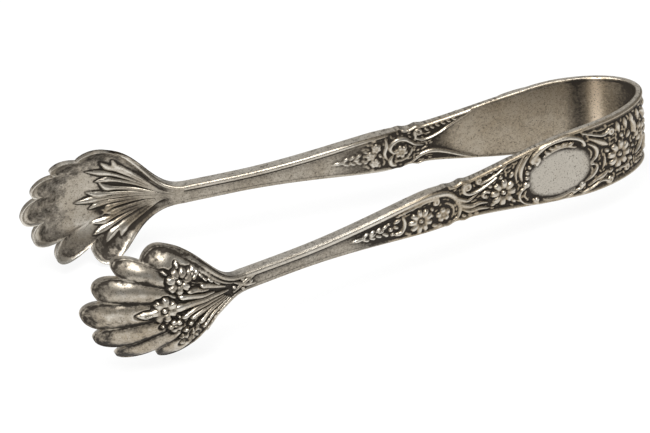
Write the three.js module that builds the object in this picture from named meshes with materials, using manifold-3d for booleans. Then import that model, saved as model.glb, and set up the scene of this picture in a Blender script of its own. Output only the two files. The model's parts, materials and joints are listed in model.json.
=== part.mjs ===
// Bow-shaped sugar tongs, struck from one strip of silver and bent into a U.
// Millimetres, +Z up. The tongs lie on their side: X runs from the claws to the bow,
// Y across the two arms, Z across the width of the strip. The front arm is at -Y.
import * as THREE from "three";
import { mergeVertices } from "three/addons/utils/BufferGeometryUtils.js";
import Module from "manifold-3d";

const wasm = await Module();
wasm.setup();

// Reaches along X, measured from the crown of the bow towards the claws
const BOW_DEPTH = 18.7;
const NOTCH_REACH = 42;
const HEAD_REACH = 45.5;
const WAIST_REACH = 75;
const NECK_REACH = 84;
const CLAW_LENGTH = 31;

// Spans across the two arms, over their outer faces
const BOW_SPAN = 19.2;
const NECK_SPAN = 34.6;
const TIP_SPAN = 36.4;

// Widths of the strip itself
const BAND_WIDTH = 14.4;
const NOTCH_WIDTH = 7.5;
const HEAD_WIDTH = 8;
const WAIST_WIDTH = 3.6;
const NECK_WIDTH = 3.7;

// Thicknesses, and the hollow of the claw
const BAND_THICKNESS = 1.35;
const STEM_THICKNESS = 2.1;
const CLAW_THICKNESS = 1.1;
const BOWL_WIDTH = 23;
const BOWL_DEPTH = 3.6;

// The bow is cut where it flexes: the crown, then a shoulder on either side of it
const CROWN_ARC = 10;
const SHOULDER_ARC = 8;
const SECTION_GAP = 0.3;

// How far each curved outline runs on before it turns
const BAND_STRAIGHT = 12;
const BAND_EASE = 12;
const NOTCH_EASE = 8;
const HEAD_EASE = 6;
const WAIST_EASE = 13;
const NECK_EASE = 3;
const THICKENING_EASE = 6;
const ARM_EASE = 6;
const NECK_RUN = 25;
const NECK_SLOPE = 0.13;

// The stems sink a little towards the neck, and the claws are tilted up again from there
const NECK_DROP = 1;
const CLAW_TILT = 4.5;

// The claw's lobes fan out from a centre a little past the neck. Each list goes from the
// middle lobe outwards, above it and below it: the angles of the valleys, and how much less
// far a tip or a valley reaches than the middle tip. The last valley ends the plain side.
const FAN_OFFSET = 4;
const UPPER_ANGLES = [6.8, 19, 30, 48];
const LOWER_ANGLES = [6.8, 20, 34, 55];
const UPPER_TIPS = [0, 1.8, 4.2, 9.2];
const LOWER_TIPS = [0, 1.8, 4.4, 10];
const UPPER_VALLEYS = [3.4, 5.9, 8.6, 14.5];
const LOWER_VALLEYS = [3.7, 7, 11.2, 14.5];
const CLAW_FLARE = 6;
const CLAW_SHOULDER = 8.5;
const CLAW_FULLNESS = 0.9;

// The bowl is this share of the half axes of a whole ellipsoid
const BOWL_SHARE = 0.8;
const ROOT_LENGTH = 9;
const ROOT_WIDTH = 9;

const CURVE_STEPS = 8;
const CROWN_STEPS = 16;
const SHOULDER_STEPS = 8;
const ARM_STEPS = 14;
const BOWL_STEPS = 48;
const CUT_MARGIN = 5;

const SILVER = new THREE.MeshStandardMaterial({ color: 0x9b948a, roughness: 0.38, metalness: 1 });

const neckX = -NECK_REACH;
const notchX = -NOTCH_REACH;

// A closed geometry as a solid that can be joined and cut.
function solidOf(geometry) {
  const bare = geometry.clone();
  bare.deleteAttribute("normal");
  bare.deleteAttribute("uv");
  const merged = mergeVertices(bare);
  return new wasm.Manifold(
    new wasm.Mesh({
      numProp: 3,
      vertProperties: new Float32Array(merged.attributes.position.array),
      triVerts: new Uint32Array(merged.index.array),
    }),
  );
}

// A solid as one named section of the tongs.
function section(name, solid) {
  const { vertProperties, triVerts } = solid.getMesh();
  const geometry = new THREE.BufferGeometry();
  geometry.setAttribute("position", new THREE.BufferAttribute(vertProperties, 3));
  geometry.setIndex(new THREE.BufferAttribute(triVerts, 1));
  geometry.computeVertexNormals();
  const mesh = new THREE.Mesh(geometry, SILVER);
  mesh.name = name;
  return mesh;
}

// A plan outline (X, Y) as a solid whose height is centred on Z = 0.
function planSolid(shape, height) {
  const settings = { depth: height, bevelEnabled: false, curveSegments: CURVE_STEPS };
  return solidOf(new THREE.ExtrudeGeometry(shape, settings).translate(0, 0, -height / 2));
}

// A side outline (X, Z) as a solid whose span is centred on Y = 0.
function sideSolid(shape, span) {
  const settings = { depth: span, bevelEnabled: false, curveSegments: CURVE_STEPS };
  const geometry = new THREE.ExtrudeGeometry(shape, settings);
  return solidOf(geometry.rotateX(Math.PI / 2).translate(0, span / 2, 0));
}

// The outer face of the front half in plan: a quarter ellipse for the bow, then the arm.
const outerFace = new THREE.CurvePath();
const bowEnd = new THREE.Vector2(-BOW_DEPTH, -BOW_SPAN / 2);
const neckPoint = new THREE.Vector2(neckX, -NECK_SPAN / 2);
outerFace.add(
  new THREE.EllipseCurve(bowEnd.x, 0, BOW_DEPTH, BOW_SPAN / 2, 0, -Math.PI / 2, true),
);
outerFace.add(
  new THREE.CubicBezierCurve(
    bowEnd,
    new THREE.Vector2(bowEnd.x - ARM_EASE, bowEnd.y),
    new THREE.Vector2(neckX + NECK_RUN, neckPoint.y + NECK_RUN * NECK_SLOPE),
    neckPoint,
  ),
);
const faceLength = outerFace.getLength();

// The strip thickens around the notch, from the springy band to the sturdier stem.
function thicknessAt(x) {
  const share = THREE.MathUtils.smoothstep(notchX - x, -THICKENING_EASE, THICKENING_EASE);
  return THREE.MathUtils.lerp(BAND_THICKNESS, STEM_THICKNESS, share);
}

// The two faces of the strip at a distance along its outer face from the crown. A negative
// distance lies on the rear half.
function facesAt(distance) {
  const share = Math.abs(distance) / faceLength;
  const outer = outerFace.getPointAt(share);
  const tangent = outerFace.getTangentAt(share);
  const inward = new THREE.Vector2(tangent.y, -tangent.x);
  const inner = outer.clone().addScaledVector(inward, thicknessAt(outer.x));
  const side = new THREE.Vector2(1, distance < 0 ? -1 : 1);
  return { outer: outer.multiply(side), inner: inner.multiply(side) };
}

// The distance along the outer face at which the front half reaches a given X.
function distanceAt(x) {
  let near = 0;
  let far = faceLength;
  while (far - near > 1e-4) {
    const middle = (near + far) / 2;
    if (outerFace.getPointAt(middle / faceLength).x > x) near = middle;
    else far = middle;
  }
  return near;
}

// The side outline of the strip: the band, the notch, the stem head, the waist and the neck.
function stripOutline() {
  const bandEnd = -BAND_STRAIGHT;
  const head = -HEAD_REACH;
  const waist = -WAIST_REACH;
  const band = BAND_WIDTH / 2;
  const headHalf = HEAD_WIDTH / 2;
  const waistHalf = WAIST_WIDTH / 2;
  const edge = new THREE.Path();
  edge.moveTo(CUT_MARGIN, band);
  edge.lineTo(bandEnd, band);
  edge.bezierCurveTo(bandEnd - BAND_EASE, band, notchX + NOTCH_EASE, headHalf, notchX, NOTCH_WIDTH / 2);
  edge.quadraticCurveTo((notchX + head) / 2, headHalf, head, headHalf);
  edge.bezierCurveTo(head - HEAD_EASE, headHalf, waist + WAIST_EASE, waistHalf, waist, waistHalf);
  edge.quadraticCurveTo(neckX + NECK_EASE, waistHalf, neckX, NECK_WIDTH / 2);
  const upper = edge.getPoints(CURVE_STEPS);
  const lower = upper.map((point) => new THREE.Vector2(point.x, -point.y)).reverse();
  for (const point of [...upper, ...lower]) {
    point.y -= NECK_DROP * Math.max(0, (notchX - point.x) / (notchX - neckX));
  }
  return new THREE.Shape([...upper, ...lower]);
}
const stripSide = sideSolid(stripOutline(), NECK_SPAN + 2 * CUT_MARGIN);

// The strip between two distances along its outer face, less half a gap at either end.
function stripSection(name, from, to, steps) {
  const outer = [];
  const inner = [];
  for (let step = 0; step <= steps; step += 1) {
    const start = from + SECTION_GAP / 2;
    const faces = facesAt(THREE.MathUtils.lerp(start, to - SECTION_GAP / 2, step / steps));
    outer.push(faces.outer);
    inner.push(faces.inner);
  }
  const plan = new THREE.Shape([...outer, ...inner.reverse()]);
  return section(name, planSolid(plan, BAND_WIDTH + CUT_MARGIN).intersect(stripSide));
}

// The claw's side outline: its neck at X = 0, its seven lobes towards -X.
function clawOutline() {
  const fan = ({ angle, shortfall }) => {
    const turn = THREE.MathUtils.degToRad(angle);
    const reach = CLAW_LENGTH - FAN_OFFSET - shortfall;
    return new THREE.Vector2(-FAN_OFFSET - reach * Math.cos(turn), reach * Math.sin(turn));
  };
  const upper = UPPER_ANGLES.map((angle, index) => ({ angle, shortfall: UPPER_VALLEYS[index] }));
  const lower = LOWER_ANGLES.map((angle, index) => ({
    angle: -angle,
    shortfall: LOWER_VALLEYS[index],
  }));
  const valleys = [...upper.reverse(), ...lower];
  const tips = [...UPPER_TIPS.slice(1).reverse(), ...LOWER_TIPS];
  const neckHalf = NECK_WIDTH / 2;
  const neckEnd = -SECTION_GAP / 2;
  const upperSide = fan(valleys[0]);
  const lowerSide = fan(valleys.at(-1));
  const outline = new THREE.Shape();
  outline.moveTo(neckEnd, -neckHalf);
  outline.lineTo(neckEnd, neckHalf);
  const upperBulge = CLAW_FULLNESS * upperSide.y;
  const lowerBulge = CLAW_FULLNESS * lowerSide.y;
  outline.bezierCurveTo(
    -CLAW_FLARE, neckHalf, -CLAW_SHOULDER, upperBulge, upperSide.x, upperSide.y,
  );
  for (let lobe = 0; lobe < valleys.length - 1; lobe += 1) {
    const from = valleys[lobe];
    const to = valleys[lobe + 1];
    const tip = tips[lobe];
    // A cubic's middle lies three quarters of the way from its ends to its handles.
    const handle = (4 * tip - (from.shortfall + to.shortfall) / 2) / 3;
    const rise = fan({ angle: from.angle, shortfall: handle });
    const fall = fan({ angle: to.angle, shortfall: handle });
    const end = fan(to);
    outline.bezierCurveTo(rise.x, rise.y, fall.x, fall.y, end.x, end.y);
  }
  outline.bezierCurveTo(
    -CLAW_SHOULDER, lowerBulge, -CLAW_FLARE, -neckHalf, neckEnd, -neckHalf,
  );
  return outline;
}

// The claw: a lobed cap of an ellipsoid shell, with a root inside it that carries the stem's
// thickness into the bowl. Its neck's outer face is at the origin, and its back bulges to -Y.
function claw(name) {
  const halfLength = CLAW_LENGTH / 2 / BOWL_SHARE;
  const halfWidth = BOWL_WIDTH / 2 / BOWL_SHARE;
  const halfDepth = BOWL_DEPTH / (1 - Math.sqrt(1 - BOWL_SHARE ** 2));
  const centreX = -CLAW_LENGTH / 2;
  const centreY = halfDepth - BOWL_DEPTH;
  const ellipsoid = (inset) => {
    const sphere = new THREE.SphereGeometry(1, BOWL_STEPS, BOWL_STEPS / 2);
    sphere.scale(halfLength - inset, halfDepth - inset, halfWidth - inset);
    return solidOf(sphere.translate(centreX, centreY, 0));
  };
  const shellMiddle = (x) => {
    const inset = CLAW_THICKNESS / 2;
    const share = (x - centreX) / (halfLength - inset);
    return centreY - (halfDepth - inset) * Math.sqrt(1 - share ** 2);
  };
  const outline = sideSolid(clawOutline(), 2 * centreY);
  const shell = ellipsoid(0).subtract(ellipsoid(CLAW_THICKNESS)).intersect(outline);
  const neckEnd = -SECTION_GAP / 2;
  const root = new THREE.Shape();
  root.moveTo(neckEnd, shellMiddle(neckEnd));
  root.lineTo(neckEnd, STEM_THICKNESS);
  root.quadraticCurveTo(-ROOT_LENGTH / 2, STEM_THICKNESS, -ROOT_LENGTH, shellMiddle(-ROOT_LENGTH));
  for (let step = 1; step < CURVE_STEPS; step += 1) {
    const x = THREE.MathUtils.lerp(-ROOT_LENGTH, neckEnd, step / CURVE_STEPS);
    root.lineTo(x, shellMiddle(x));
  }
  return section(name, shell.add(planSolid(root, ROOT_WIDTH).intersect(outline)));
}

// One arm: the shoulder of the bow, the handle panel, the stem and the claw.
function arm(side) {
  const crownEnd = CROWN_ARC / 2;
  const shoulderEnd = crownEnd + SHOULDER_ARC;
  const notch = distanceAt(notchX);
  const parts = new THREE.Group();
  parts.add(stripSection(`${side}_bow_shoulder`, crownEnd, shoulderEnd, SHOULDER_STEPS));
  parts.add(stripSection(`${side}_handle_panel`, shoulderEnd, notch, ARM_STEPS));
  parts.add(stripSection(`${side}_stem`, notch, faceLength, ARM_STEPS));
  const gripper = claw(`${side}_claw`);
  gripper.position.set(neckPoint.x, neckPoint.y, -NECK_DROP);
  gripper.rotation.y = THREE.MathUtils.degToRad(CLAW_TILT);
  gripper.rotation.z = Math.asin((TIP_SPAN - NECK_SPAN) / 2 / CLAW_LENGTH);
  parts.add(gripper);
  return parts;
}

const tongs = new THREE.Group();
tongs.add(stripSection("bow_crown", -CROWN_ARC / 2, CROWN_ARC / 2, CROWN_STEPS));
tongs.add(arm("front"));
const rearArm = arm("rear");
rearArm.scale.y = -1;
tongs.add(rearArm);

// The origin is under the middle of the tongs, level with the lowest edge of the claws.
const box = new THREE.Box3().setFromObject(tongs, true);
tongs.position.set(-(box.min.x + box.max.x) / 2, 0, -box.min.z);

export default tongs;
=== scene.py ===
import json
import math

import bpy
import numpy as np
from mathutils import Matrix, Vector, noise

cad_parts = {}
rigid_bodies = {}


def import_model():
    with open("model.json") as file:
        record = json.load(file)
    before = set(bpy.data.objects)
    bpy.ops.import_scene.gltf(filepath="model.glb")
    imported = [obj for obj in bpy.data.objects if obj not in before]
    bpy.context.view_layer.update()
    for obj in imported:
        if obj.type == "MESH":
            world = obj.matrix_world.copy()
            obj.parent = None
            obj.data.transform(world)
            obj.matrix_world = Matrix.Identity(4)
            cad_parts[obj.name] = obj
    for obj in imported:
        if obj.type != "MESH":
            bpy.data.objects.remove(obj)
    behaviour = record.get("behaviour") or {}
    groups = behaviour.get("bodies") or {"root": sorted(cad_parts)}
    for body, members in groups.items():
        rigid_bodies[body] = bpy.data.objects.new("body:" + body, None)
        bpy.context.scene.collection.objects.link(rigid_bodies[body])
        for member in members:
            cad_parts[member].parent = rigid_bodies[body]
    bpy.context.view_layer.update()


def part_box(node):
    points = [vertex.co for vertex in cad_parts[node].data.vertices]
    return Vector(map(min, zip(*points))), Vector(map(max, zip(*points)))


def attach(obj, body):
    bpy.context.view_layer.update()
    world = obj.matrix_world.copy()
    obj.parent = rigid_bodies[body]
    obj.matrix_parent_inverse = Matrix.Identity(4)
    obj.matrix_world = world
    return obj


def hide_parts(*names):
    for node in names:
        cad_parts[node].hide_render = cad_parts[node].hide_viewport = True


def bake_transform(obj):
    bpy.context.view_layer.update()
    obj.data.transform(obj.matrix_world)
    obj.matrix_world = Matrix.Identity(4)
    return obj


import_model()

bl_info = {
    "name": "Sugar tongs",
    "version": (1, 0, 0),
    "blender": (4, 5, 0),
    "location": "3D View > Sidebar > Tongs",
    "description": "Sugar tongs whose strip is struck flat between dies and then bent",
    "category": "Object",
}

MM = 0.001

# The strip's frame: the crown's outer face at its middle height
CROWN_LOW, CROWN_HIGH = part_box("bow_crown")
CROWN = Vector((CROWN_HIGH.x, 0, (CROWN_LOW.z + CROWN_HIGH.z) / 2))
BAND_HALF = (CROWN_HIGH.z - CROWN_LOW.z) / 2 / MM

# Where the strip is parted, along its outer face from the crown, in millimetres
CROWN_END = 9.0
CROWN_FLEX = (2.5, 7.5)
ARM_FLEX = (10.5, 15.5)

# Cells of each blank: along it, then across
CROWN_CELLS = (74, 120)
PANEL_CELLS = (345, 138)
STEM_CELLS = (350, 60)
CLAW_CELLS = (210, 196)

# Spots on a die that are taken by its ornament: place and reach
SPOTS = {}

# Strike: the height that a blank starts from, how far its metal rounds off, and the share of its half width where
# its wall begins
STRIKE_HEIGHT = 4.0
SOFTNESS = 0.165
WALL_SHARE = 0.9999

# Relief: how far around a height is averaged, which rise above that average counts in full, and its weight
RELIEF_SCALES = ((0.35, 0.2, 0.6), (1.1, 0.34, 0.55))

# Both faces round over from this share of the half width, over this reach; the inner ground is sunk by this share
ROUND_START, ROUND_REACH = 0.915, 0.085
INNER_GROUND = 0.4

# Plan of the strip: handles of its curves, the slope of the arms at the necks, and the steps along the curves
ELLIPSE_HANDLE = 0.5523
ARM_HANDLE = 6.0
NECK_HANDLE = 25.0
NECK_SLOPE = 0.13
BOW_STEPS, ARM_STEPS = 800, 1600

# The strip's middle sinks by this much between notch and neck, over this run
CENTRE_SINK, SINK_RUN = 1.0, 42

# Cartouche: its middle, length and width
CARTOUCHE = (24.7, -0.65, 14.4, 10.7)

# Inside the bow: place and reach of a painted reflection, and of a band of painted shade beside it
PAINTED_REFLECTION, PAINTED_SHADE_BAND = (9.5, 1.3), (13, 2)

# Where the sprays on the outer and the inner face fade in and out, and where the stem begins on the outer face
OUTER_SPRAY, INNER_SPRAY = ((54, 58), (62, 68)), ((49, 53), (58, 64))
STEM_START = (57, 63)

# Slanting marks on the strip's edge: turns of their pattern per millimetre, in radians
EDGE_MARKS = 6.5

# Rounding of a raised line's ends: how far ahead in half widths, and the share of its size that is left there
END_ROUNDING = ((0.55, 0.82), (0.85, 0.5), (0.98, 0.15))

# Angle between a serrated leaf's midrib and its lobes, in degrees
LEAF_SWEEP = 42.0

STRIP_DIES = "outer_strip_die", "inner_strip_die"
CLAW_DIES = "outer_claw_die", "inner_claw_die"

# Camera of the photograph: direction and roll in degrees, distance in metres, the point that it faces in
# millimetres from the crown, focal length and picture width in pixels, and the sensor in millimetres
PHOTO_TURN, PHOTO_RISE, PHOTO_ROLL = -18.34, 32.27, -4.73
PHOTO_DISTANCE = 0.7476
PHOTO_AIM = (-62.77, 0, -3.36)
PHOTO_FOCUS, PHOTO_WIDTH = 4129.5, 650
SENSOR = 36

# Softboxes: name, place, width, height and power; all of them face one point
SOFTBOXES = (
    ("top_softbox", (-0.12, -0.2, 0.6), 0.45, 0.4, 5.5),
    ("left_softbox", (-0.6, 0.1, 0.35), 0.3, 0.3, 2.0),
    ("rear_softbox", (0.2, 0.6, 0.4), 0.4, 0.25, 0.2),
)
LIGHT_AIM = (0, 0, 0.01)
WORLD_STRENGTH = 0.3
FLOOR_LEVEL = -0.0006
FLOOR_GLOW = 0.88


def length_property(name, description, default):
    """A length, in metres."""
    return bpy.props.FloatProperty(name=name, description=description, default=default, unit="LENGTH")


def colour_property(name, description, default):
    """A colour."""
    return bpy.props.FloatVectorProperty(name=name, description=description, default=default, subtype="COLOR")


class TongsSizes(bpy.types.PropertyGroup):
    """Sizes of the strip, the claws and the relief."""

    bow_depth: length_property("Bow depth", "Depth of the bow's round end", 0.0187)
    bow_span: length_property("Bow span", "Width over the bow's outer faces", 0.0192)
    neck_span: length_property("Neck span", "Width over the arms at the necks", 0.0346)
    tip_span: length_property("Tip span", "Width over the arms at the claw tips", 0.0364)
    notch_reach: length_property("Notch reach", "From the crown to the notch", 0.042)
    neck_reach: length_property("Neck reach", "From the crown to the neck", 0.084)
    notch_width: length_property("Notch width", "Width of the strip at the notch", 0.0075)
    head_width: length_property("Head width", "Width of the stem's head", 0.008)
    waist_width: length_property("Waist width", "Width of the stem's waist", 0.0036)
    neck_width: length_property("Neck width", "Width of the neck", 0.0037)
    band_thickness: length_property("Band thickness", "Thickness of the springy band", 0.00135)
    stem_thickness: length_property("Stem thickness", "Thickness of the stem", 0.0021)
    claw_length: length_property("Claw length", "From the neck to the middle lobe's tip", 0.031)
    bowl_width: length_property("Bowl width", "Width of the claw's bowl", 0.023)
    bowl_depth: length_property("Bowl depth", "Depth of the claw's bowl", 0.0036)
    claw_thickness: length_property("Claw thickness", "Thickness of the claw's shell", 0.0011)
    ground_depth: length_property("Ground depth", "How far the struck ground is sunk", 0.0003)


class TongsFinish(bpy.types.PropertyGroup):
    """Colours of the old silver."""

    silver: colour_property("Silver", "Colour of the worn metal", (0.49, 0.453, 0.392))
    tarnished: colour_property("Tarnished", "Colour of the tarnished metal", (0.38, 0.312, 0.222))
    # Warm colour of the painted reflection inside the bow
    rubbed: colour_property("Rubbed", "Colour of tarnish that is kept rubbed", (0.82, 0.685, 0.525))
    # Also the colour of the painted highlights
    bright: colour_property("Bright", "Colour of the rubbed high points", (0.78, 0.738, 0.658))
    # Colour of the dark oxide in recesses, and of the painted shade
    patina_and_shade: colour_property("Patina", "Colour of the dark recesses", (0.03, 0.023, 0.016))
    roughness: bpy.props.FloatProperty(
        name="Roughness", description="Roughness of the satin faces", default=0.33, min=0, max=1, subtype="FACTOR"
    )


def size(name):
    """One of the sizes, in millimetres."""
    return getattr(bpy.context.scene.tongs_sizes, name) / MM


def ease(value, start, end):
    """A smooth step from 0 at start to 1 at end."""
    share = np.clip((np.asarray(value, float) - start) / (end - start), 0, 1)
    return share * share * (3 - 2 * share)


def bump(value, middle, reach):
    """1 at the middle, and less the further away, measured in this reach."""
    return np.exp(-(((value - middle) / reach) ** 2))


def bezier(points, steps):
    """Points along a Bezier curve of three or four points."""
    share = np.linspace(0, 1, steps + 1)[:, None]
    rows = [np.asarray(point, float) for point in points]
    while len(rows) > 1:
        rows = [a + (b - a) * share for a, b in zip(rows, rows[1:])]
    return np.broadcast_to(rows[0], (steps + 1, 2))


def deselect():
    """Leaves object mode and selects nothing."""
    if bpy.context.object and bpy.context.object.mode != "OBJECT":
        bpy.ops.object.mode_set(mode="OBJECT")
    bpy.ops.object.select_all(action="DESELECT")


def pick(*objects):
    """Selects these objects alone, the first one active."""
    deselect()
    for each in objects:
        each.select_set(True)
    bpy.context.view_layer.objects.active = objects[0]


def apply_modifier(obj, kind, **settings):
    """Adds a modifier with these settings and applies it."""
    pick(obj)
    modifier = obj.modifiers.new(kind.title(), kind)
    for name, value in settings.items():
        setattr(modifier, name, value)
    bpy.ops.object.modifier_apply(modifier=modifier.name)


def face_outwards():
    """Turns the active object's faces outwards and leaves edit mode."""
    bpy.ops.object.mode_set(mode="EDIT")
    bpy.ops.mesh.select_all(action="SELECT")
    bpy.ops.mesh.normals_make_consistent(inside=False)
    bpy.ops.object.mode_set(mode="OBJECT")


def points_of(mesh):
    """The mesh's points as an array."""
    flat = np.empty(len(mesh.vertices) * 3)
    mesh.vertices.foreach_get("co", flat)
    return flat.reshape(-1, 3)


def set_points(mesh, points):
    """Moves the mesh's points."""
    mesh.vertices.foreach_set("co", np.ascontiguousarray(points, float).ravel())
    mesh.update()


# The strip's plan and outline


def plan_points():
    """The bow and the arm's outer face in plan: control points of two Bezier curves."""
    depth, half = size("bow_depth"), size("bow_span") / 2
    reach, neck = size("neck_reach"), size("neck_span") / 2
    bow = [(0, 0), (0, -ELLIPSE_HANDLE * half), (-depth * (1 - ELLIPSE_HANDLE), -half), (-depth, -half)]
    arm = [
        (-depth, -half),
        (-depth - ARM_HANDLE, -half),
        (-reach + NECK_HANDLE, -neck + NECK_HANDLE * NECK_SLOPE),
        (-reach, -neck),
    ]
    return bow, arm


def plan_path():
    """Points along the outer face in plan, from the crown to the neck."""
    bow, arm = plan_points()
    return np.vstack([bezier(bow, BOW_STEPS), bezier(arm, ARM_STEPS)[1:]])


def plan_table():
    """Distance along the outer face, and the reach from the crown there."""
    path = plan_path()
    steps = np.linalg.norm(np.diff(path, axis=0), axis=1)
    return np.concatenate([[0], np.cumsum(steps)]), -path[:, 0]


def reach_at(distance):
    """Reach from the crown at a distance along the outer face."""
    along, reach = plan_table()
    return np.interp(distance, along, reach)


def distance_at(reach):
    """Distance along the outer face at a reach from the crown."""
    along, reaches = plan_table()
    return float(np.interp(reach, reaches, along))


def half_width(distance):
    """Half the strip's width at a distance along its outer face."""
    notch, head = size("notch_width") / 2, size("head_width") / 2
    waist, neck = size("waist_width") / 2, size("neck_width") / 2
    at, end = size("notch_reach"), size("neck_reach")
    # Reach and half width: the straight band, then curves to the notch, the stem's head, its waist and the neck
    edge = np.vstack(
        [
            [(0, BAND_HALF)],
            bezier([(12, BAND_HALF), (24, BAND_HALF), (at - 8, head), (at, notch)], 60),
            bezier([(at, notch), (at + 1.75, head), (at + 3.5, head)], 12)[1:],
            bezier([(at + 3.5, head), (at + 9.5, head), (end - 22, waist), (end - 9, waist)], 60)[1:],
            bezier([(end - 9, waist), (end - 3, waist), (end, neck)], 12)[1:],
        ]
    )
    reach = reach_at(distance)
    # The scrolls beside the notch stand out from the outline
    knobs = 0.32 * bump(reach - at, -1.7, 0.8) + 0.22 * bump(reach - at, 1.5, 0.7)
    return np.interp(reach, edge[:, 0], edge[:, 1]) + knobs


def centre_drop(distance):
    """How far the strip's middle sinks from the notch to the neck."""
    start, end = size("notch_reach"), size("neck_reach")
    return CENTRE_SINK * np.clip((reach_at(distance) - start) / (end - start), 0, 1)


def thickness(distance):
    """The strip's thickness at a distance along its outer face."""
    notch = size("notch_reach")
    share = ease(reach_at(distance), notch - 6, notch + 6)
    return size("band_thickness") + (size("stem_thickness") - size("band_thickness")) * share


def edge_line(start, end, inset, sign, steps=40):
    """Points along one edge of the strip, this far inside it."""
    along = np.linspace(start, end, steps)
    return np.stack([along, sign * (half_width(along) - inset)], 1)


# Dies: the raised pattern of a face, laid out flat


def smooth_path(points, steps):
    """A curve through rows of numbers, with this many steps between two rows."""
    rows = np.asarray(points, float)
    rows = np.vstack([2 * rows[0] - rows[1], rows, 2 * rows[-1] - rows[-2]])
    share = np.linspace(0, 1, steps, endpoint=False)[:, None]
    spans = []
    for a, b, c, d in zip(rows, rows[1:], rows[2:], rows[3:]):
        rise = (c - a) * share + (2 * a - 5 * b + 4 * c - d) * share**2
        spans.append(b + (rise + (3 * b - a - 3 * c + d) * share**3) / 2)
    return np.vstack([*spans, rows[-2:-1]])


def spread(value, count):
    """One number for every point, from a number or from a few along the way."""
    given = np.atleast_1d(np.asarray(value, float))
    return np.interp(np.linspace(0, 1, count), np.linspace(0, 1, len(given)), given)


def rounded_end(last, before):
    """Rows that round off a line's end: place, half width and height."""
    ahead = last[:2] - before[:2]
    ahead = ahead / max(np.linalg.norm(ahead), 1e-6) * last[2]
    return np.array([[*(last[:2] + ahead * way), *(last[2:] * left)] for way, left in END_ROUNDING])


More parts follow.
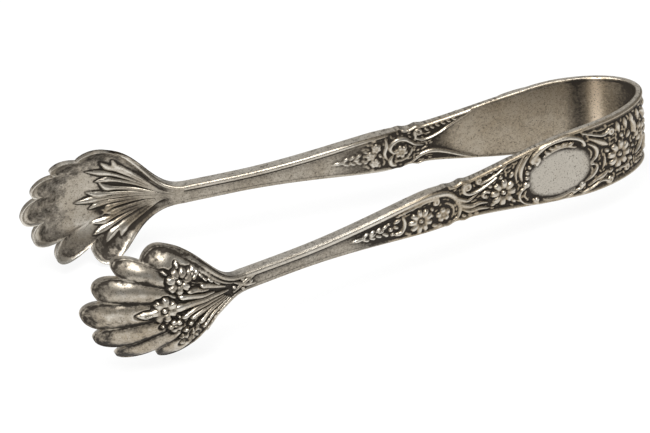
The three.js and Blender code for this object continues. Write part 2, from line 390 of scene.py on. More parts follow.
class Die:
    """A flat ground sheet with raised lines and domes on it, in millimetres.

    Bold widens the lines, lift raises everything, and taken lists the place and reach of what is drawn.
    """

    def __init__(self, name, low, high, bold=1.0, lift=1.0):
        self.bold, self.lift = bold, lift
        self.taken = []
        deselect()
        bpy.ops.mesh.primitive_plane_add(size=1, location=((low[0] + high[0]) / 2, (low[1] + high[1]) / 2, 0))
        bpy.ops.transform.resize(value=(high[0] - low[0], high[1] - low[1], 1))
        self.ground = bpy.context.object
        self.ground.name = name
        self.domes = []
        self.curve = bpy.data.curves.new(f"{name}_lines", "CURVE")
        self.curve.dimensions = "3D"
        self.curve.bevel_depth = 1
        self.curve.bevel_resolution = 3
        self.curve.use_fill_caps = True

    def line(self, points, width, height, steps=7):
        """A raised line of round section. Width and height may change along it."""
        count = len(points)
        rows = np.column_stack([points, spread(width, count) / 2 * self.bold, spread(height, count) * self.lift])
        rows = smooth_path(rows, steps)
        self.taken.extend(rows[:, :3])
        rows = np.vstack([rounded_end(rows[0], rows[1])[::-1], rows, rounded_end(rows[-1], rows[-2])])
        half, rise = np.maximum(rows[:, 2], 0.02), np.maximum(rows[:, 3], 0.01)
        radius = np.where(rise > half, half, (half**2 + rise**2) / (2 * rise))
        spline = self.curve.splines.new("POLY")
        spline.points.add(len(rows) - 1)
        places = np.column_stack([rows[:, :2], rise - radius, np.ones(len(rows))])
        spline.points.foreach_set("co", places.ravel())
        spline.points.foreach_set("radius", radius)

    def dome(self, x, y, length, width, height, turn=0.0, tip=0.0, base=0.0):
        """An oval dome. Turn is its direction, and tip raises the end that it points to."""
        deselect()
        bpy.ops.mesh.primitive_uv_sphere_add(
            segments=20,
            ring_count=10,
            radius=1,
            location=(x, y, base),
            rotation=(0, -math.radians(tip), math.radians(turn)),
            scale=(length / 2, width / 2, height * self.lift),
        )
        self.domes.append(bpy.context.object)
        way = np.array([math.cos(math.radians(turn)), math.sin(math.radians(turn))])
        for step in np.linspace(-1, 1, 5) * max(length - width, 0) / 2:
            self.taken.append((x + way[0] * step, y + way[1] * step, min(length, width) / 2))

    def flower(self, x, y, radius, petals, height, turn=0.0, base=0.0):
        """A ring of plump petals with notched ends round a beaded eye, on a raised base."""
        pitch = 360 / petals
        wide = 2 * math.pi * 0.66 * radius / petals
        if base:
            self.dome(x, y, 1.9 * radius, 1.9 * radius, base + 0.15)
        for step in range(petals):
            for side in (-1, 1):
                angle = turn + pitch * (step + 0.13 * side)
                way = math.radians(angle)
                place = x + 0.62 * radius * math.cos(way), y + 0.62 * radius * math.sin(way)
                self.dome(*place, 0.84 * radius, 0.74 * wide, height, angle, 8, base)
        self.dome(x, y, 0.46 * radius, 0.46 * radius, height * 1.1, 0, 0, base)

    def volute(self, x, y, radius, turns, start, width, height, tail=()):
        """A curl that winds inwards from its start angle to a bead, with a tail before it."""
        count = max(8, int(abs(turns) * 14))
        share = np.linspace(0, 1, count)
        way = np.radians(start + 360 * turns * share)
        reach = radius * (1 - 0.72 * share)
        curl = np.stack([x + reach * np.cos(way), y + reach * np.sin(way)], 1)
        points = np.vstack([np.reshape(tail, (-1, 2)), curl])
        lead = spread((0.5 * width, width), len(points) - count + 1)[:-1]
        widths = np.concatenate([lead, spread((width, 0.8 * width), count)])
        self.line(points, widths, height, 4)
        self.dome(*curl[-1], 1.25 * width, 1.25 * width, height * 1.15)

    def leaf(self, points, width, height, lobes):
        """A serrated leaf: a midrib with plump lobes side by side that shorten to its tip."""
        spine = smooth_path(points, 8)
        self.line(points, (0.3 * width, 0.26 * width, 0.12 * width), height * 1.15)
        for step in range(lobes):
            share = 0.05 + 0.8 * step / lobes
            at = int(share * (len(spine) - 2))
            heading = spine[at + 1] - spine[at]
            way = math.atan2(heading[1], heading[0])
            long = width * (0.62 - 0.36 * share)
            for side in (1, -1):
                turn = way + side * math.radians(LEAF_SWEEP)
                bend = way + side * math.radians(LEAF_SWEEP * 0.3)
                middle = spine[at] + long * 0.62 * np.array([math.cos(turn), math.sin(turn)])
                end = middle + long * 0.7 * np.array([math.cos(bend), math.sin(bend)])
                shape = (0.26 * width, 0.42 * width, 0.08 * width), (height * 0.8, height, height * 0.6)
                self.line([spine[at], middle, end], *shape)

    def leaves(self, rows, stretch, width, height, tip=6):
        """Oval leaves of one width: the place, length and direction of each."""
        for x, y, length, turn in rows:
            self.dome(x, y, stretch * length, width, height, turn, tip)

    def spray(self, x, y, pairs, pitch, gap, narrowing, leaf):
        """Pairs of leaves along the strip; each pair is closer together than the one before."""
        for step in range(pairs):
            for side in (1, -1):
                self.dome(x + pitch * step, y + side * (gap - narrowing * step), *leaf, 180 - side * 30, 5)

    def fill(self, start, stop, pitch, length, height, edge):
        """Small leaves on the ground that is still free between two distances along the strip."""
        chance = np.random.default_rng(5)
        along = np.arange(start, stop, pitch)
        taken = np.array(self.taken)
        for x, half in zip(along, half_width(along)):
            for y in np.arange(-half + edge, half - edge, pitch):
                spot = np.array([x, y]) + chance.uniform(-0.25, 0.25, 2) * pitch
                reach = np.linalg.norm(taken[:, :2] - spot, axis=1) - taken[:, 2]
                if reach.min() > 0.16 * length:
                    side = taken[reach.argmin(), :2] - spot
                    self.dome(*spot, length, 0.45 * length, height, 90 + math.degrees(math.atan2(side[1], side[0])), 6)

    def finish(self):
        """Joins the pattern and its ground into one mesh."""
        deselect()
        lines = bpy.data.objects.new(self.curve.name, self.curve)
        bpy.context.collection.objects.link(lines)
        pick(lines)
        bpy.ops.object.convert(target="MESH")
        pick(self.ground, lines, *self.domes)
        bpy.ops.object.join()
        bpy.ops.object.transform_apply(location=True, rotation=True, scale=True)
        return self.ground


def tie_knot(die, neck, sign):
    """A ribbon knot that lies across the neck, drawn on the dies of both sides."""

    def row(*points):
        return [(neck + sign * x, y) for x, y in points]

    for ribbon in (
        row((2.2, 0.9), (0.4, 0.5), (-1.2, -0.1), (-2.8, -1.0)),
        row((1.8, -1.0), (0.2, -0.5), (-1.2, 0.2), (-2.8, 1.1)),
    ):
        die.line(ribbon, (0.3, 0.8, 0.8, 0.3), (0.2, 0.6, 0.6, 0.3))
    for x, y in row((-0.9, 0.05), (-2.6, 0.0), (0.9, -0.1), (-0.8, 1.0), (-0.8, -0.95)):
        die.dome(x, y, 0.95, 0.8, 0.62)


def draw_crown(die):
    """A flower on the crown's middle, with leaf sprays, a smaller flower and drops beside it."""
    die.flower(0, -0.2, 2.6, 8, 0.55, 22)
    for sign in (1, -1):
        die.leaf([(2.2, sign * 2.2), (3.6, sign * 3.6), (5.0, sign * 4.6)], 2.0, 0.45, 3)
        die.line([(0.2, sign * 5.6), (0.5, sign * 4.6), (0.4, sign * 3.2)], (0.5, 0.8, 0.3), (0.3, 0.5, 0.3))
        die.line([(1.9, sign * 5.5), (2.0, sign * 4.7), (1.6, sign * 3.6)], (0.4, 0.7, 0.25), (0.3, 0.5, 0.3))
    die.flower(5.6, 0.6, 1.9, 5, 0.5, 10)
    die.leaf([(4.4, -1.2), (5.6, -2.4), (7.2, -3.2)], 2.0, 0.45, 3)
    die.leaf([(7.4, 1.6), (7.6, 3.0), (8.4, 4.4)], 1.8, 0.45, 3)
    for x, y, reach in (
        (3.2, 0.4, 0.7), (3.6, -1.6, 0.6), (7.6, 0.2, 0.6), (8.0, -1.2, 0.55), (5.4, -4.7, 0.7), (7.2, -5.2, 0.6),
    ):
        die.dome(x, y, 1.4 * reach, 1.4 * reach, 0.42)
    # Drops that hang from the crown's upper rim
    for x in (6.2, 8.2, 10.0, 11.9):
        die.line([(x + 0.2, 5.5), (x, 4.6), (x - 0.35, 3.2)], (0.45, 0.8, 0.25), (0.3, 0.5, 0.3))


def draw_corners(die):
    """The flower beside the cartouche, and the scrolls and leaves in the corners on the crown's side."""
    die.flower(11.8, -1.2, 2.75, 8, 0.62, 12)
    die.leaves(
        [
            (9.3, 1.8, 1.5, 120), (14.6, 0.6, 1.2, 40), (9.0, -3.4, 1.4, 215), (13.9, -3.9, 1.3, 330),
            (11.0, 2.4, 1.0, 80),
        ],
        1.2, 1.0, 0.45,
    )
    die.volute(10.0, -5.0, 0.75, 1.1, 40, 0.42, 0.45, [(12.6, -4.6), (11.4, -4.3)])
    die.volute(13.7, 4.2, 0.75, 1.0, 20, 0.5, 0.5, [(20.0, 6.2), (17.5, 5.0), (15.6, 4.2)])
    die.line([(18.6, 4.6), (17.0, 3.6), (15.6, 2.6), (14.6, 1.9)], (0.35, 0.75, 0.9, 0.4), (0.3, 0.45, 0.5, 0.4))
    die.line([(17.0, 5.6), (15.8, 5.4), (14.6, 5.4)], (0.2, 0.4, 0.2), 0.3)
    die.volute(14.2, -5.6, 0.7, -1.0, 0, 0.45, 0.5, [(20.2, -6.4), (18.0, -5.9), (16.2, -5.2)])
    die.line([(18.8, -5.4), (17.2, -4.6), (15.8, -4.3), (14.6, -3.7)], (0.3, 0.6, 0.8, 0.3), (0.3, 0.45, 0.5, 0.4))
    die.line([(15.8, -2.9), (15.2, -1.6), (15.2, 0.2)], (0.2, 0.45, 0.2), (0.25, 0.4, 0.25))


def draw_cartouche(die):
    """A flat oval in a frame of scrolls."""
    die.dome(*CARTOUCHE, 0.34)
    die.volute(
        29.35, 3.3, 0.75, 0.8, 0, 0.95, 0.72,
        [(19.55, 3.8), (20.1, 4.8), (21.4, 5.7), (23.2, 6.2), (25.2, 6.25), (27.2, 5.9), (28.9, 5.0), (29.9, 4.1)],
    )
    die.dome(19.6, 3.65, 1.1, 0.9, 0.62, 60)
    die.dome(29.3, 2.75, 1.3, 1.15, 0.72, 80)
    for x, y, turn in ((26.9, 4.2, 35), (25.9, 4.75, 22), (24.7, 4.95, 10), (23.4, 4.95, -8), (22.2, 4.6, -25)):
        die.dome(x, y, 1.9, 0.95, 0.5, turn, 8)
    die.line([(27.6, 3.55), (25.6, 4.25), (23.4, 4.4), (21.2, 3.7)], (0.25, 0.4, 0.4, 0.2), 0.42)
    die.line(
        [(30.0, 5.4), (31.3, 4.4), (32.3, 2.9), (32.6, 1.4), (32.3, -0.1)],
        (0.3, 0.6, 0.7, 0.6, 0.25), (0.35, 0.5, 0.55, 0.5, 0.3),
    )
    die.line([(31.6, 5.2), (32.8, 3.7), (33.5, 2.0), (33.5, 0.4)], (0.2, 0.4, 0.45, 0.2), 0.4)
    die.leaves([(30.7, 2.3, 1.0, 70), (31.2, 1.3, 1.1, 80), (31.3, 0.2, 0.8, 95)], 1.1, 0.85, 0.48, 5)
    die.volute(31.45, -1.25, 0.55, 1.0, -40, 0.42, 0.5, [(30.6, -5.4), (32.3, -4.6), (33.1, -3.2), (32.6, -2.0)])
    die.line([(31.6, -2.4), (32.0, -3.3), (31.3, -4.4)], (0.2, 0.4, 0.2), 0.35)
    die.volute(
        29.6, -4.9, 0.5, -0.9, 20, 0.42, 0.5,
        [(20.6, -5.2), (22.4, -6.0), (24.6, -6.5), (27.0, -6.45), (29.2, -5.9)],
    )
    die.volute(20.0, -4.75, 0.5, 0.9, -60, 0.4, 0.5, [(22.4, -5.5), (21.0, -5.4)])
    die.line([(28.2, -5.3), (26.0, -5.85), (23.6, -5.75), (21.8, -5.0)], (0.2, 0.45, 0.45, 0.2), 0.38)
    die.line(
        [(19.4, -4.2), (18.0, -3.4), (17.1, -2.3), (17.0, -1.5), (17.7, -1.1)],
        (0.25, 0.55, 0.55, 0.4, 0.3), (0.3, 0.5, 0.5, 0.4, 0.4),
    )
    die.dome(17.9, -0.95, 0.9, 0.75, 0.5)
    die.line(
        [(18.0, -0.5), (17.1, 0.4), (16.9, 1.5), (17.6, 2.7), (18.7, 3.5)],
        (0.3, 0.5, 0.6, 0.5, 0.25), (0.35, 0.5, 0.5, 0.5, 0.3),
    )
    die.line([(18.3, -3.0), (17.9, -2.2), (18.1, -1.6)], (0.15, 0.3, 0.15), 0.3)
    die.line([(18.2, 0.4), (18.0, 1.4), (18.7, 2.6)], (0.15, 0.3, 0.15), 0.3)


def draw_panel_end(die):
    """A flower, a half bud and scrolls on the claws' side of the panel."""
    die.flower(36.3, -1.0, 2.6, 8, 0.64, 8)
    die.volute(40.0, -0.35, 0.85, -0.75, 150, 0.5, 0.5)
    die.leaves(
        [
            (34.4, 2.0, 1.3, 120), (38.9, 1.1, 1.1, 35), (34.3, -3.4, 1.2, 230), (38.4, -2.7, 1.2, 330),
            (36.6, 2.2, 0.9, 80),
        ],
        1.2, 0.9, 0.42,
    )
    die.volute(43.6, 2.6, 0.85, 1.2, -30, 0.58, 0.6, [(37.6, 2.7), (39.4, 1.9), (41.4, 1.2), (43.2, 1.1), (44.3, 1.7)])
    die.volute(41.1, 3.15, 0.55, 1.0, -60, 0.4, 0.5, [(35.6, 4.4), (37.2, 3.4), (39.2, 2.7), (40.6, 2.5)])
    for x, y, reach in ((36.4, 4.75, 0.55), (37.5, 4.35, 0.6), (38.6, 4.05, 0.55), (39.6, 3.95, 0.5)):
        die.dome(x, y, 1.5 * reach, 1.3 * reach, 0.48)
    die.line([(46.6, 1.8), (45.2, 0.6), (43.6, -0.2), (41.6, 0.5)], (0.3, 0.6, 0.5, 0.2), (0.35, 0.5, 0.45, 0.3))
    die.line(
        [(46.0, 0.2), (44.6, -0.9), (43.0, -1.6), (41.2, -1.5), (39.6, -2.0)],
        (0.3, 0.75, 0.7, 0.5, 0.2), (0.35, 0.5, 0.5, 0.45, 0.3),
    )
    die.line([(44.9, -1.6), (43.4, -2.5), (41.4, -2.6), (39.4, -3.2)], (0.3, 0.6, 0.6, 0.2), (0.35, 0.5, 0.45, 0.3))
    for x, y in ((42.0, -3.3), (43.3, -3.25), (44.5, -3.1)):
        die.dome(x, y, 1.3, 0.8, 0.42, 25, 5)


def draw_stem_head(die, end):
    """A rib that turns round the stem's head as a scroll, with flowers and a spray inside it."""
    half = half_width(np.array([52.0, 56.0, 60.0]))
    turn = [(46.9, -3.45), (45.7, -2.7), (45.2, -1.4), (45.4, 0.0), (46.2, 1.4), (47.6, 2.6), (49.6, 3.1)]
    rib = np.vstack([turn, edge_line(52, end, 0.62, 1, 16)])
    die.line(rib, (0.35, 0.75, 0.9, 0.9, 0.88, 0.86, 0.84, 0.82, 0.8), (0.4, 0.5, 0.5, 0.44, 0.42))
    die.volute(
        50.1, 1.75, 0.7, 0.9, 100, 0.45, 0.5,
        [(58.0, half[2] - 1.45), (55.0, half[1] - 1.4), (52.0, half[0] - 1.4)],
    )
    die.line(edge_line(58, end, 1.36, 1), (0.18, 0.12, 0.1), (0.18, 0.12, 0.12), 2)
    die.line(edge_line(46.5, 60, 0.3, -1), (0.6, 0.5, 0.3), (0.4, 0.3, 0.12), 2)
    die.line(edge_line(58, end, 0.55, -1), 0.12, 0.1, 2)
    die.line([(48.2, 0.9), (46.9, 0.0), (46.5, -1.4), (47.1, -2.7)], (0.15, 0.35, 0.35, 0.15), 0.32)
    die.flower(48.7, -1.3, 1.5, 5, 0.5, 15)
    die.flower(53.3, -0.9, 2.45, 9, 0.64, 5)
    die.leaves(
        [(50.6, -2.9, 1.3, 200), (50.9, 0.6, 1.0, 60), (51.0, -0.7, 0.8, 100), (49.6, -3.2, 1.0, 170)],
        1.15, 0.8, 0.44,
    )
    die.line(
        [(56.9, 1.3), (56.6, 0.2), (56.7, -1.0), (57.5, -1.9), (58.3, -1.9)],
        (0.3, 0.5, 0.5, 0.55, 0.5), (0.35, 0.5, 0.5, 0.5, 0.45),
    )
    for x, y, long, wide, turn in (
        (58.0, 0.75, 1.6, 0.7, -20), (58.3, -0.45, 1.2, 0.6, 40), (59.4, -0.5, 0.9, 0.75, 60),
        (59.1, -1.6, 0.75, 0.6, 0), (60.3, -1.35, 0.8, 0.55, 20),
        (59.7, 0.75, 0.55, 0.5, 0), (61.4, -0.2, 1.3, 0.5, 0), (63.1, -0.25, 1.3, 0.45, 0),
    ):
        die.dome(x, y, 1.1 * long, 1.25 * wide, 0.44, turn)
    die.spray(60.6, -0.3, 4, 1.3, 0.72, 0.07, (1.5, 0.62, 0.42))
    die.line([(64.8, -0.3), (66.2, -0.25), (67.6, -0.15)], (0.35, 0.5, 0.1), (0.3, 0.4, 0.15))


def cut_outer_strip_die():
    """The outer face: crown flowers, cartouche, scrolls, stem head and ribbed stem."""
    die = Die("outer_strip_die", (-3, -9), (93, 9), 1.5, 1.2)
    end = plan_table()[0][-1] + 2
    # Rims along both edges
    for sign in (1, -1):
        die.line(edge_line(-2, 47, 0.32, sign), 0.62, 0.36, 2)
        die.line(edge_line(-2, 19, 0.95, sign), 0.24, 0.2, 2)
    draw_crown(die)
    draw_corners(die)
    draw_cartouche(die)
    draw_panel_end(die)
    draw_stem_head(die, end)
    # Small leaves on the ground that is left
    die.fill(0.4, 57, 0.8, 1.2, 0.27, 0.9)
    die.fill(0.4, 57, 0.55, 0.75, 0.2, 0.8)
    die.bold = die.lift = 1.0
    tie_knot(die, end - 2, -1)
    return die.finish()


def cut_inner_strip_die():
    """The inner face: plain panel, rims, and scrolls with a spray at the stem's head."""
    die = Die("inner_strip_die", (-3, -9), (93, 9), 1.35, 1.15)
    end = plan_table()[0][-1] + 2
    for sign in (1, -1):
        die.line(edge_line(-2, 34, 0.2, sign), 0.4, 0.14, 2)
    # Scrolls that close the plain field
    die.volute(44.1, 2.6, 0.8, 1.1, -40, 0.5, 0.42, [(39.0, 2.2), (41.2, 1.2), (43.2, 0.9), (44.6, 1.5)])
    die.line([(33.0, 5.1), (36.0, 3.7), (39.0, 2.2), (40.2, 1.6)], (0.1, 0.3, 0.4, 0.3), (0.06, 0.16, 0.25, 0.25))
    for step in range(6):
        die.dome(37.2 + 1.05 * step, 3.95 - 0.22 * step, 1.3, 0.7, 0.36, 40, 6)
    die.line(edge_line(34, 47, 0.3, 1), 0.5, 0.34, 2)
    die.line(
        [(33.0, -5.2), (36.0, -4.1), (39.0, -2.7), (41.5, -1.9), (43.6, -2.1), (45.6, -3.3)],
        (0.2, 0.45, 0.6, 0.7, 0.6, 0.3), (0.15, 0.35, 0.45, 0.5, 0.45, 0.3),
    )
    die.line(edge_line(34, 47, 0.25, -1), 0.4, 0.3, 2)
    scroll = [(49.1, -0.5), (49.7, 0.4), (49.3, 1.4), (48.2, 2.0), (46.9, 1.9), (45.8, 1.1), (44.9, 0.3), (43.4, -0.2)]
    die.line(scroll, (0.45, 0.55, 0.62, 0.66, 0.62, 0.55, 0.45, 0.25), (0.45, 0.5, 0.5, 0.5, 0.5, 0.5, 0.4, 0.3))
    die.dome(48.9, -0.45, 0.9, 0.75, 0.5)
    die.flower(47.6, -0.6, 1.35, 6, 0.5, 20)
    die.line([(45.4, -0.4), (46.0, -1.6), (47.4, -2.4), (49.0, -2.2)], (0.2, 0.4, 0.4, 0.2), 0.32)
    die.line([(50.4, 2.9), (50.3, 1.4), (50.8, -0.2), (50.4, -1.6)], (0.2, 0.5, 0.5, 0.2), (0.3, 0.45, 0.45, 0.3))
    die.line([(49.2, -0.9), (49.8, -1.8), (49.6, -2.8), (48.8, -3.2)], (0.25, 0.6, 0.6, 0.3), (0.3, 0.45, 0.45, 0.3))
    die.flower(52.8, -1.75, 1.0, 6, 0.45)
    die.flower(53.5, -0.1, 0.95, 5, 0.45, 10)
    die.flower(52.3, 1.25, 1.0, 6, 0.45, 30)
    for x, y, long, wide, turn in (
        (51.7, -0.4, 1.0, 0.5, 80), (54.3, 0.9, 0.9, 0.4, 30), (56.2, -0.35, 1.2, 0.45, 0),
        (54.4, -1.2, 0.9, 0.45, -30),
    ):
        die.dome(x, y, 1.1 * long, 1.3 * wide, 0.4, turn)
    die.spray(55.8, -0.35, 3, 1.2, 0.68, 0.1, (1.4, 0.56, 0.36))
    die.line([(58.6, -0.4), (59.8, -0.35), (61.0, -0.3)], (0.3, 0.45, 0.1), (0.25, 0.34, 0.12))
    die.line(edge_line(50, end, 0.58, 1), (0.3, 0.78, 0.8, 0.78, 0.78), (0.2, 0.34, 0.34, 0.32, 0.32), 2)
    die.line(edge_line(50, end, 1.3, 1), (0.16, 0.12, 0.1), (0.16, 0.12, 0.1), 2)
    die.line(edge_line(50, 62, 0.32, -1), (0.5, 0.4, 0.2), (0.3, 0.2, 0.05), 2)
    die.fill(42, 55, 0.75, 0.95, 0.24, 0.75)
    return die.finish()


# The claw's outline, laid out flat: its neck at x = 0, its lobes towards -x


# The lobes fan out from a point. Their valleys lie at angles in degrees, above and below the middle line, and tips
# and valleys fall short of the middle tip's reach by so many millimetres
FAN = np.array([-4.0, 0.0])
UPPER_ANGLES = (6.8, 19, 30, 48)
LOWER_ANGLES = (6.8, 20, 34, 55)
UPPER_TIPS = (0, 1.8, 4.2, 9.2)
LOWER_TIPS = (0, 1.8, 4.4, 10)
UPPER_VALLEYS = (3.4, 5.9, 8.6, 14.5)
LOWER_VALLEYS = (3.7, 7, 11.2, 14.5)
LOBES = 7
LOBE_TAPER = 0.15

# Flutes on the claw's back: their height, and how wide the two outer ones are
FLUTE_HEIGHT = 0.95
END_FLUTE = 0.58

# The claw's bowl: the share of an ellipsoid that it takes up, the length of its root and its tilt in degrees
BOWL_SHARE = 0.8
CLAW_ROOT = 9.0
CLAW_TILT = 4.5

# Usual size of a claw's cells in millimetres, and the number of random streaks across its flutes
CLAW_SPACING = (0.17, 0.14)
STREAKS = 130


def fan_point(angle, shortfall):
    """A point of the fan, this much less far out than the middle tip."""
    way = math.radians(angle)
    reach = size("claw_length") + FAN[0] - shortfall
    return FAN + reach * np.array([-math.cos(way), math.sin(way)])


def valleys():
    """Angle and shortfall of each valley, from the lowest to the highest."""
    lower = [(-angle, short) for angle, short in zip(LOWER_ANGLES, LOWER_VALLEYS)]
    return lower[::-1] + list(zip(UPPER_ANGLES, UPPER_VALLEYS))


def lobed_edge(steps):
    """The lobed edge from the lowest valley to the highest, with the same steps on each lobe."""
    edges = valleys()
    tips = LOWER_TIPS[:0:-1] + UPPER_TIPS
    rows = []
    for tip, start, stop in zip(tips, edges, edges[1:]):
        handle = (4 * tip - (start[1] + stop[1]) / 2) / 3
        taper = LOBE_TAPER * (stop[0] - start[0])
        inner = fan_point(start[0] + taper, handle), fan_point(stop[0] - taper, handle)
        rows.append(bezier([fan_point(*start), *inner, fan_point(*stop)], steps)[:-1])
    return np.vstack([*rows, [fan_point(*edges[-1])]])


def flow_lines(across, along):
    """Points on the lines that run from the neck (along 0) to the lobed edge (along 1)."""
    edge = lobed_edge(48)
    share = (np.asarray(across, float) + 1) / 2 * (len(edge) - 1)
    index = np.arange(len(edge))
    end = np.stack([np.interp(share, index, edge[:, k]) for k in (0, 1)], -1)
    neck = np.stack([np.zeros_like(across), across * size("neck_width") / 2], -1)
    # Handles: straight out of the neck, and half way back to the fan's point, or level along the sides
    near = neck + np.array([-6.0, 0.0])
    radial = end + (FAN - end) * 0.5
    level = np.stack([np.full_like(across, -8.5), 0.9 * end[..., 1]], -1)
    side = ease(np.abs(across), 0.72, 1)[..., None]
    far = radial + (level - radial) * side
    t = np.asarray(along, float)[..., None]
    return (1 - t) ** 3 * neck + 3 * (1 - t) ** 2 * t * near + 3 * (1 - t) * t**2 * far + t**3 * end


def flow_line(across, start, stop, steps=14):
    """One of those lines, from a share of its length to another. It may move across on the way."""
    along = np.linspace(start, stop, steps)
    return flow_lines(spread(across, steps), along)


def side_line(inset, start, stop, sign):
    """A line along the claw's upper (1) or lower (-1) side, this far in from its outline."""
    path = flow_line(sign, start, stop, 24)
    heading = np.gradient(path, axis=0)
    heading /= np.linalg.norm(heading, axis=1)[:, None]
    return path + sign * inset * np.column_stack([-heading[:, 1], heading[:, 0]])


def flutes(across, along):
    """Height of the seven rounded flutes, which run out among the leaves and at the lobed edge."""
    phase = np.mod((np.asarray(across, float) + 1) / 2 * LOBES, 1)
    inward = np.where(across > 0, phase, 1 - phase) / END_FLUTE
    phase = np.where(np.abs(across) > 1 - 2 / LOBES, np.clip(inward, 0, 1), phase)
    side = np.clip(np.abs(2 * phase - 1) / 0.9, 0, 1)
    ribbed = ease(np.abs(across), 0.5, 0.72) * (1 - ease(along, 0.5, 0.7))
    return (1 - side**2) ** 0.55 * (1 - ease(along, 0.86, 1.0)) * ease(along, 0.36, 0.6) * (1 - 0.9 * ribbed)


def shaded_undersides(across):
    """Painted shade on the lower side of each flute, with dark oxide in the groove: 1 in the groove, 0 from the middle
    up.
    """
    phase = np.mod((np.asarray(across, float) + 1) / 2 * LOBES, 1)
    return ease(phase, 0.02, 0.07) * (1 - ease(phase, 0.08, 0.42))


def cut_outer_claw_die():
    """The claw's back: lines between the flutes, two flowers, leaves and a bundle of blades."""
    die = Die("outer_claw_die", (-34, -16), (3, 16))
    for groove in range(1, LOBES):
        die.line(flow_line(2 * groove / LOBES - 1, 0.42, 0.985), (0.5, 0.46, 0.36), (0.44, 0.42, 0.3), 3)
    die.line(lobed_edge(10) * (0.994, 0.99), 0.34, 0.16, 2)
    # Mouldings that carry the stem's ribs along the sides
    second = np.vstack([side_line(1.25, 0.14, 0.85, 1), [(-13.6, 9.1), (-15.4, 10.4)]])
    for points, width, height in (
        (side_line(0.5, -0.12, 0.97, 1), (1.0, 0.8, 0.7, 0.6), (0.5, 0.5, 0.5, 0.4)),
        (second, (0.2, 0.55, 0.6, 0.6, 0.4), (0.3, 0.5, 0.5, 0.5, 0.3)),
        (side_line(0.45, -0.12, 0.97, -1), (0.5, 0.7, 0.7, 0.6), (0.25, 0.5, 0.5, 0.4)),
        ([(-11.2, -8.6), (-12.6, -9.6), (-13.8, -10.6)], (0.3, 0.6, 0.4), (0.3, 0.5, 0.3)),
    ):
        die.line(points, width, height, 2)
    plain = len(die.taken)
    # Blades with plump ends that converge on the neck
    blades = (
        ([(-13.3, 2.2), (-11.6, 1.8), (-9.4, 1.2), (-7.0, 0.9)], 0.95),
        ([(-11.9, 2.95), (-10.6, 2.8), (-9.4, 2.3), (-8.2, 1.9)], 0.75),
        ([(-9.2, 3.1), (-8.0, 2.6), (-6.4, 1.9), (-4.6, 1.1)], 0.8),
        ([(-14.0, 0.25), (-11.4, 0.3), (-8.2, 0.15), (-4.0, 0.1)], 1.35),
        ([(-12.8, -1.7), (-11.0, -0.95), (-8.8, -0.75), (-5.0, -0.5)], 0.95),
        ([(-11.3, -2.35), (-9.6, -1.75), (-7.6, -1.4), (-4.6, -0.85)], 0.75),
        ([(-9.6, -3.7), (-8.0, -2.55), (-6.2, -1.75), (-4.2, -1.15)], 0.8),
        ([(-9.0, -5.0), (-7.4, -3.55), (-5.6, -2.4), (-3.8, -1.45)], 0.7),
        ([(-8.3, -6.1), (-6.8, -4.5), (-5.2, -3.0), (-3.4, -1.75)], 0.6),
    )
    for points, width in blades:
        die.line(points, (1.1 * width, 1.1 * width, 0.85 * width, 0.3), (0.85, 0.8, 0.7, 0.45))
        heading = np.subtract(points[1], points[0])
        die.dome(*points[0], 2.4 * width, 1.3 * width, 0.95, math.degrees(math.atan2(heading[1], heading[0])))
    # Flowers, a pointed leaf and small leaves
    die.flower(-13.9, 5.2, 2.4, 7, 0.66, 10, 0.2)
    die.flower(-16.9, 0.3, 2.45, 7, 0.68, 30, 0.2)
    die.flower(-11.3, 6.1, 1.35, 5, 0.8, 0)
    die.flower(-14.8, -3.4, 1.5, 5, 0.85, 40)
    die.line([(-19.4, 0.35), (-20.6, 0.3), (-22.0, 0.05)], (0.5, 0.6, 0.15), (0.85, 0.9, 0.6))
    die.line([(-19.4, -0.35), (-20.6, -0.35), (-22.0, -0.05)], (0.5, 0.6, 0.15), (0.85, 0.9, 0.6))
    for x, y, long, wide, turn in (
        (-7.7, 3.5, 1.9, 0.6, 322), (-6.3, 2.5, 1.9, 0.55, 325),
        (-9.7, 5.1, 1.6, 0.6, 320), (-8.9, 4.2, 1.6, 0.55, 320), (-16.4, 7.1, 1.3, 0.8, 150),
        (-14.0, 8.0, 1.3, 0.8, 110), (-11.9, -3.5, 1.4, 0.95, 20), (-12.7, -4.9, 1.5, 0.95, 30),
        (-13.3, -6.3, 1.5, 0.95, 40),
        (-13.0, -8.0, 1.6, 0.95, 60), (-10.6, -4.5, 1.3, 0.6, 70), (-11.3, -5.9, 1.5, 0.6, 70),
        (-11.6, -7.4, 1.5, 0.6, 75),
        (-10.3, -6.9, 1.2, 0.55, 80), (-14.2, -1.5, 0.9, 0.7, 280), (-17.2, -3.0, 1.1, 0.7, 210),
    ):
        die.dome(x, y, long, wide, 0.82, turn, 5)
    SPOTS["outer_claw_die"] = np.array(die.taken[plain:])
    tie_knot(die, 0.0, 1)
    return die.finish()


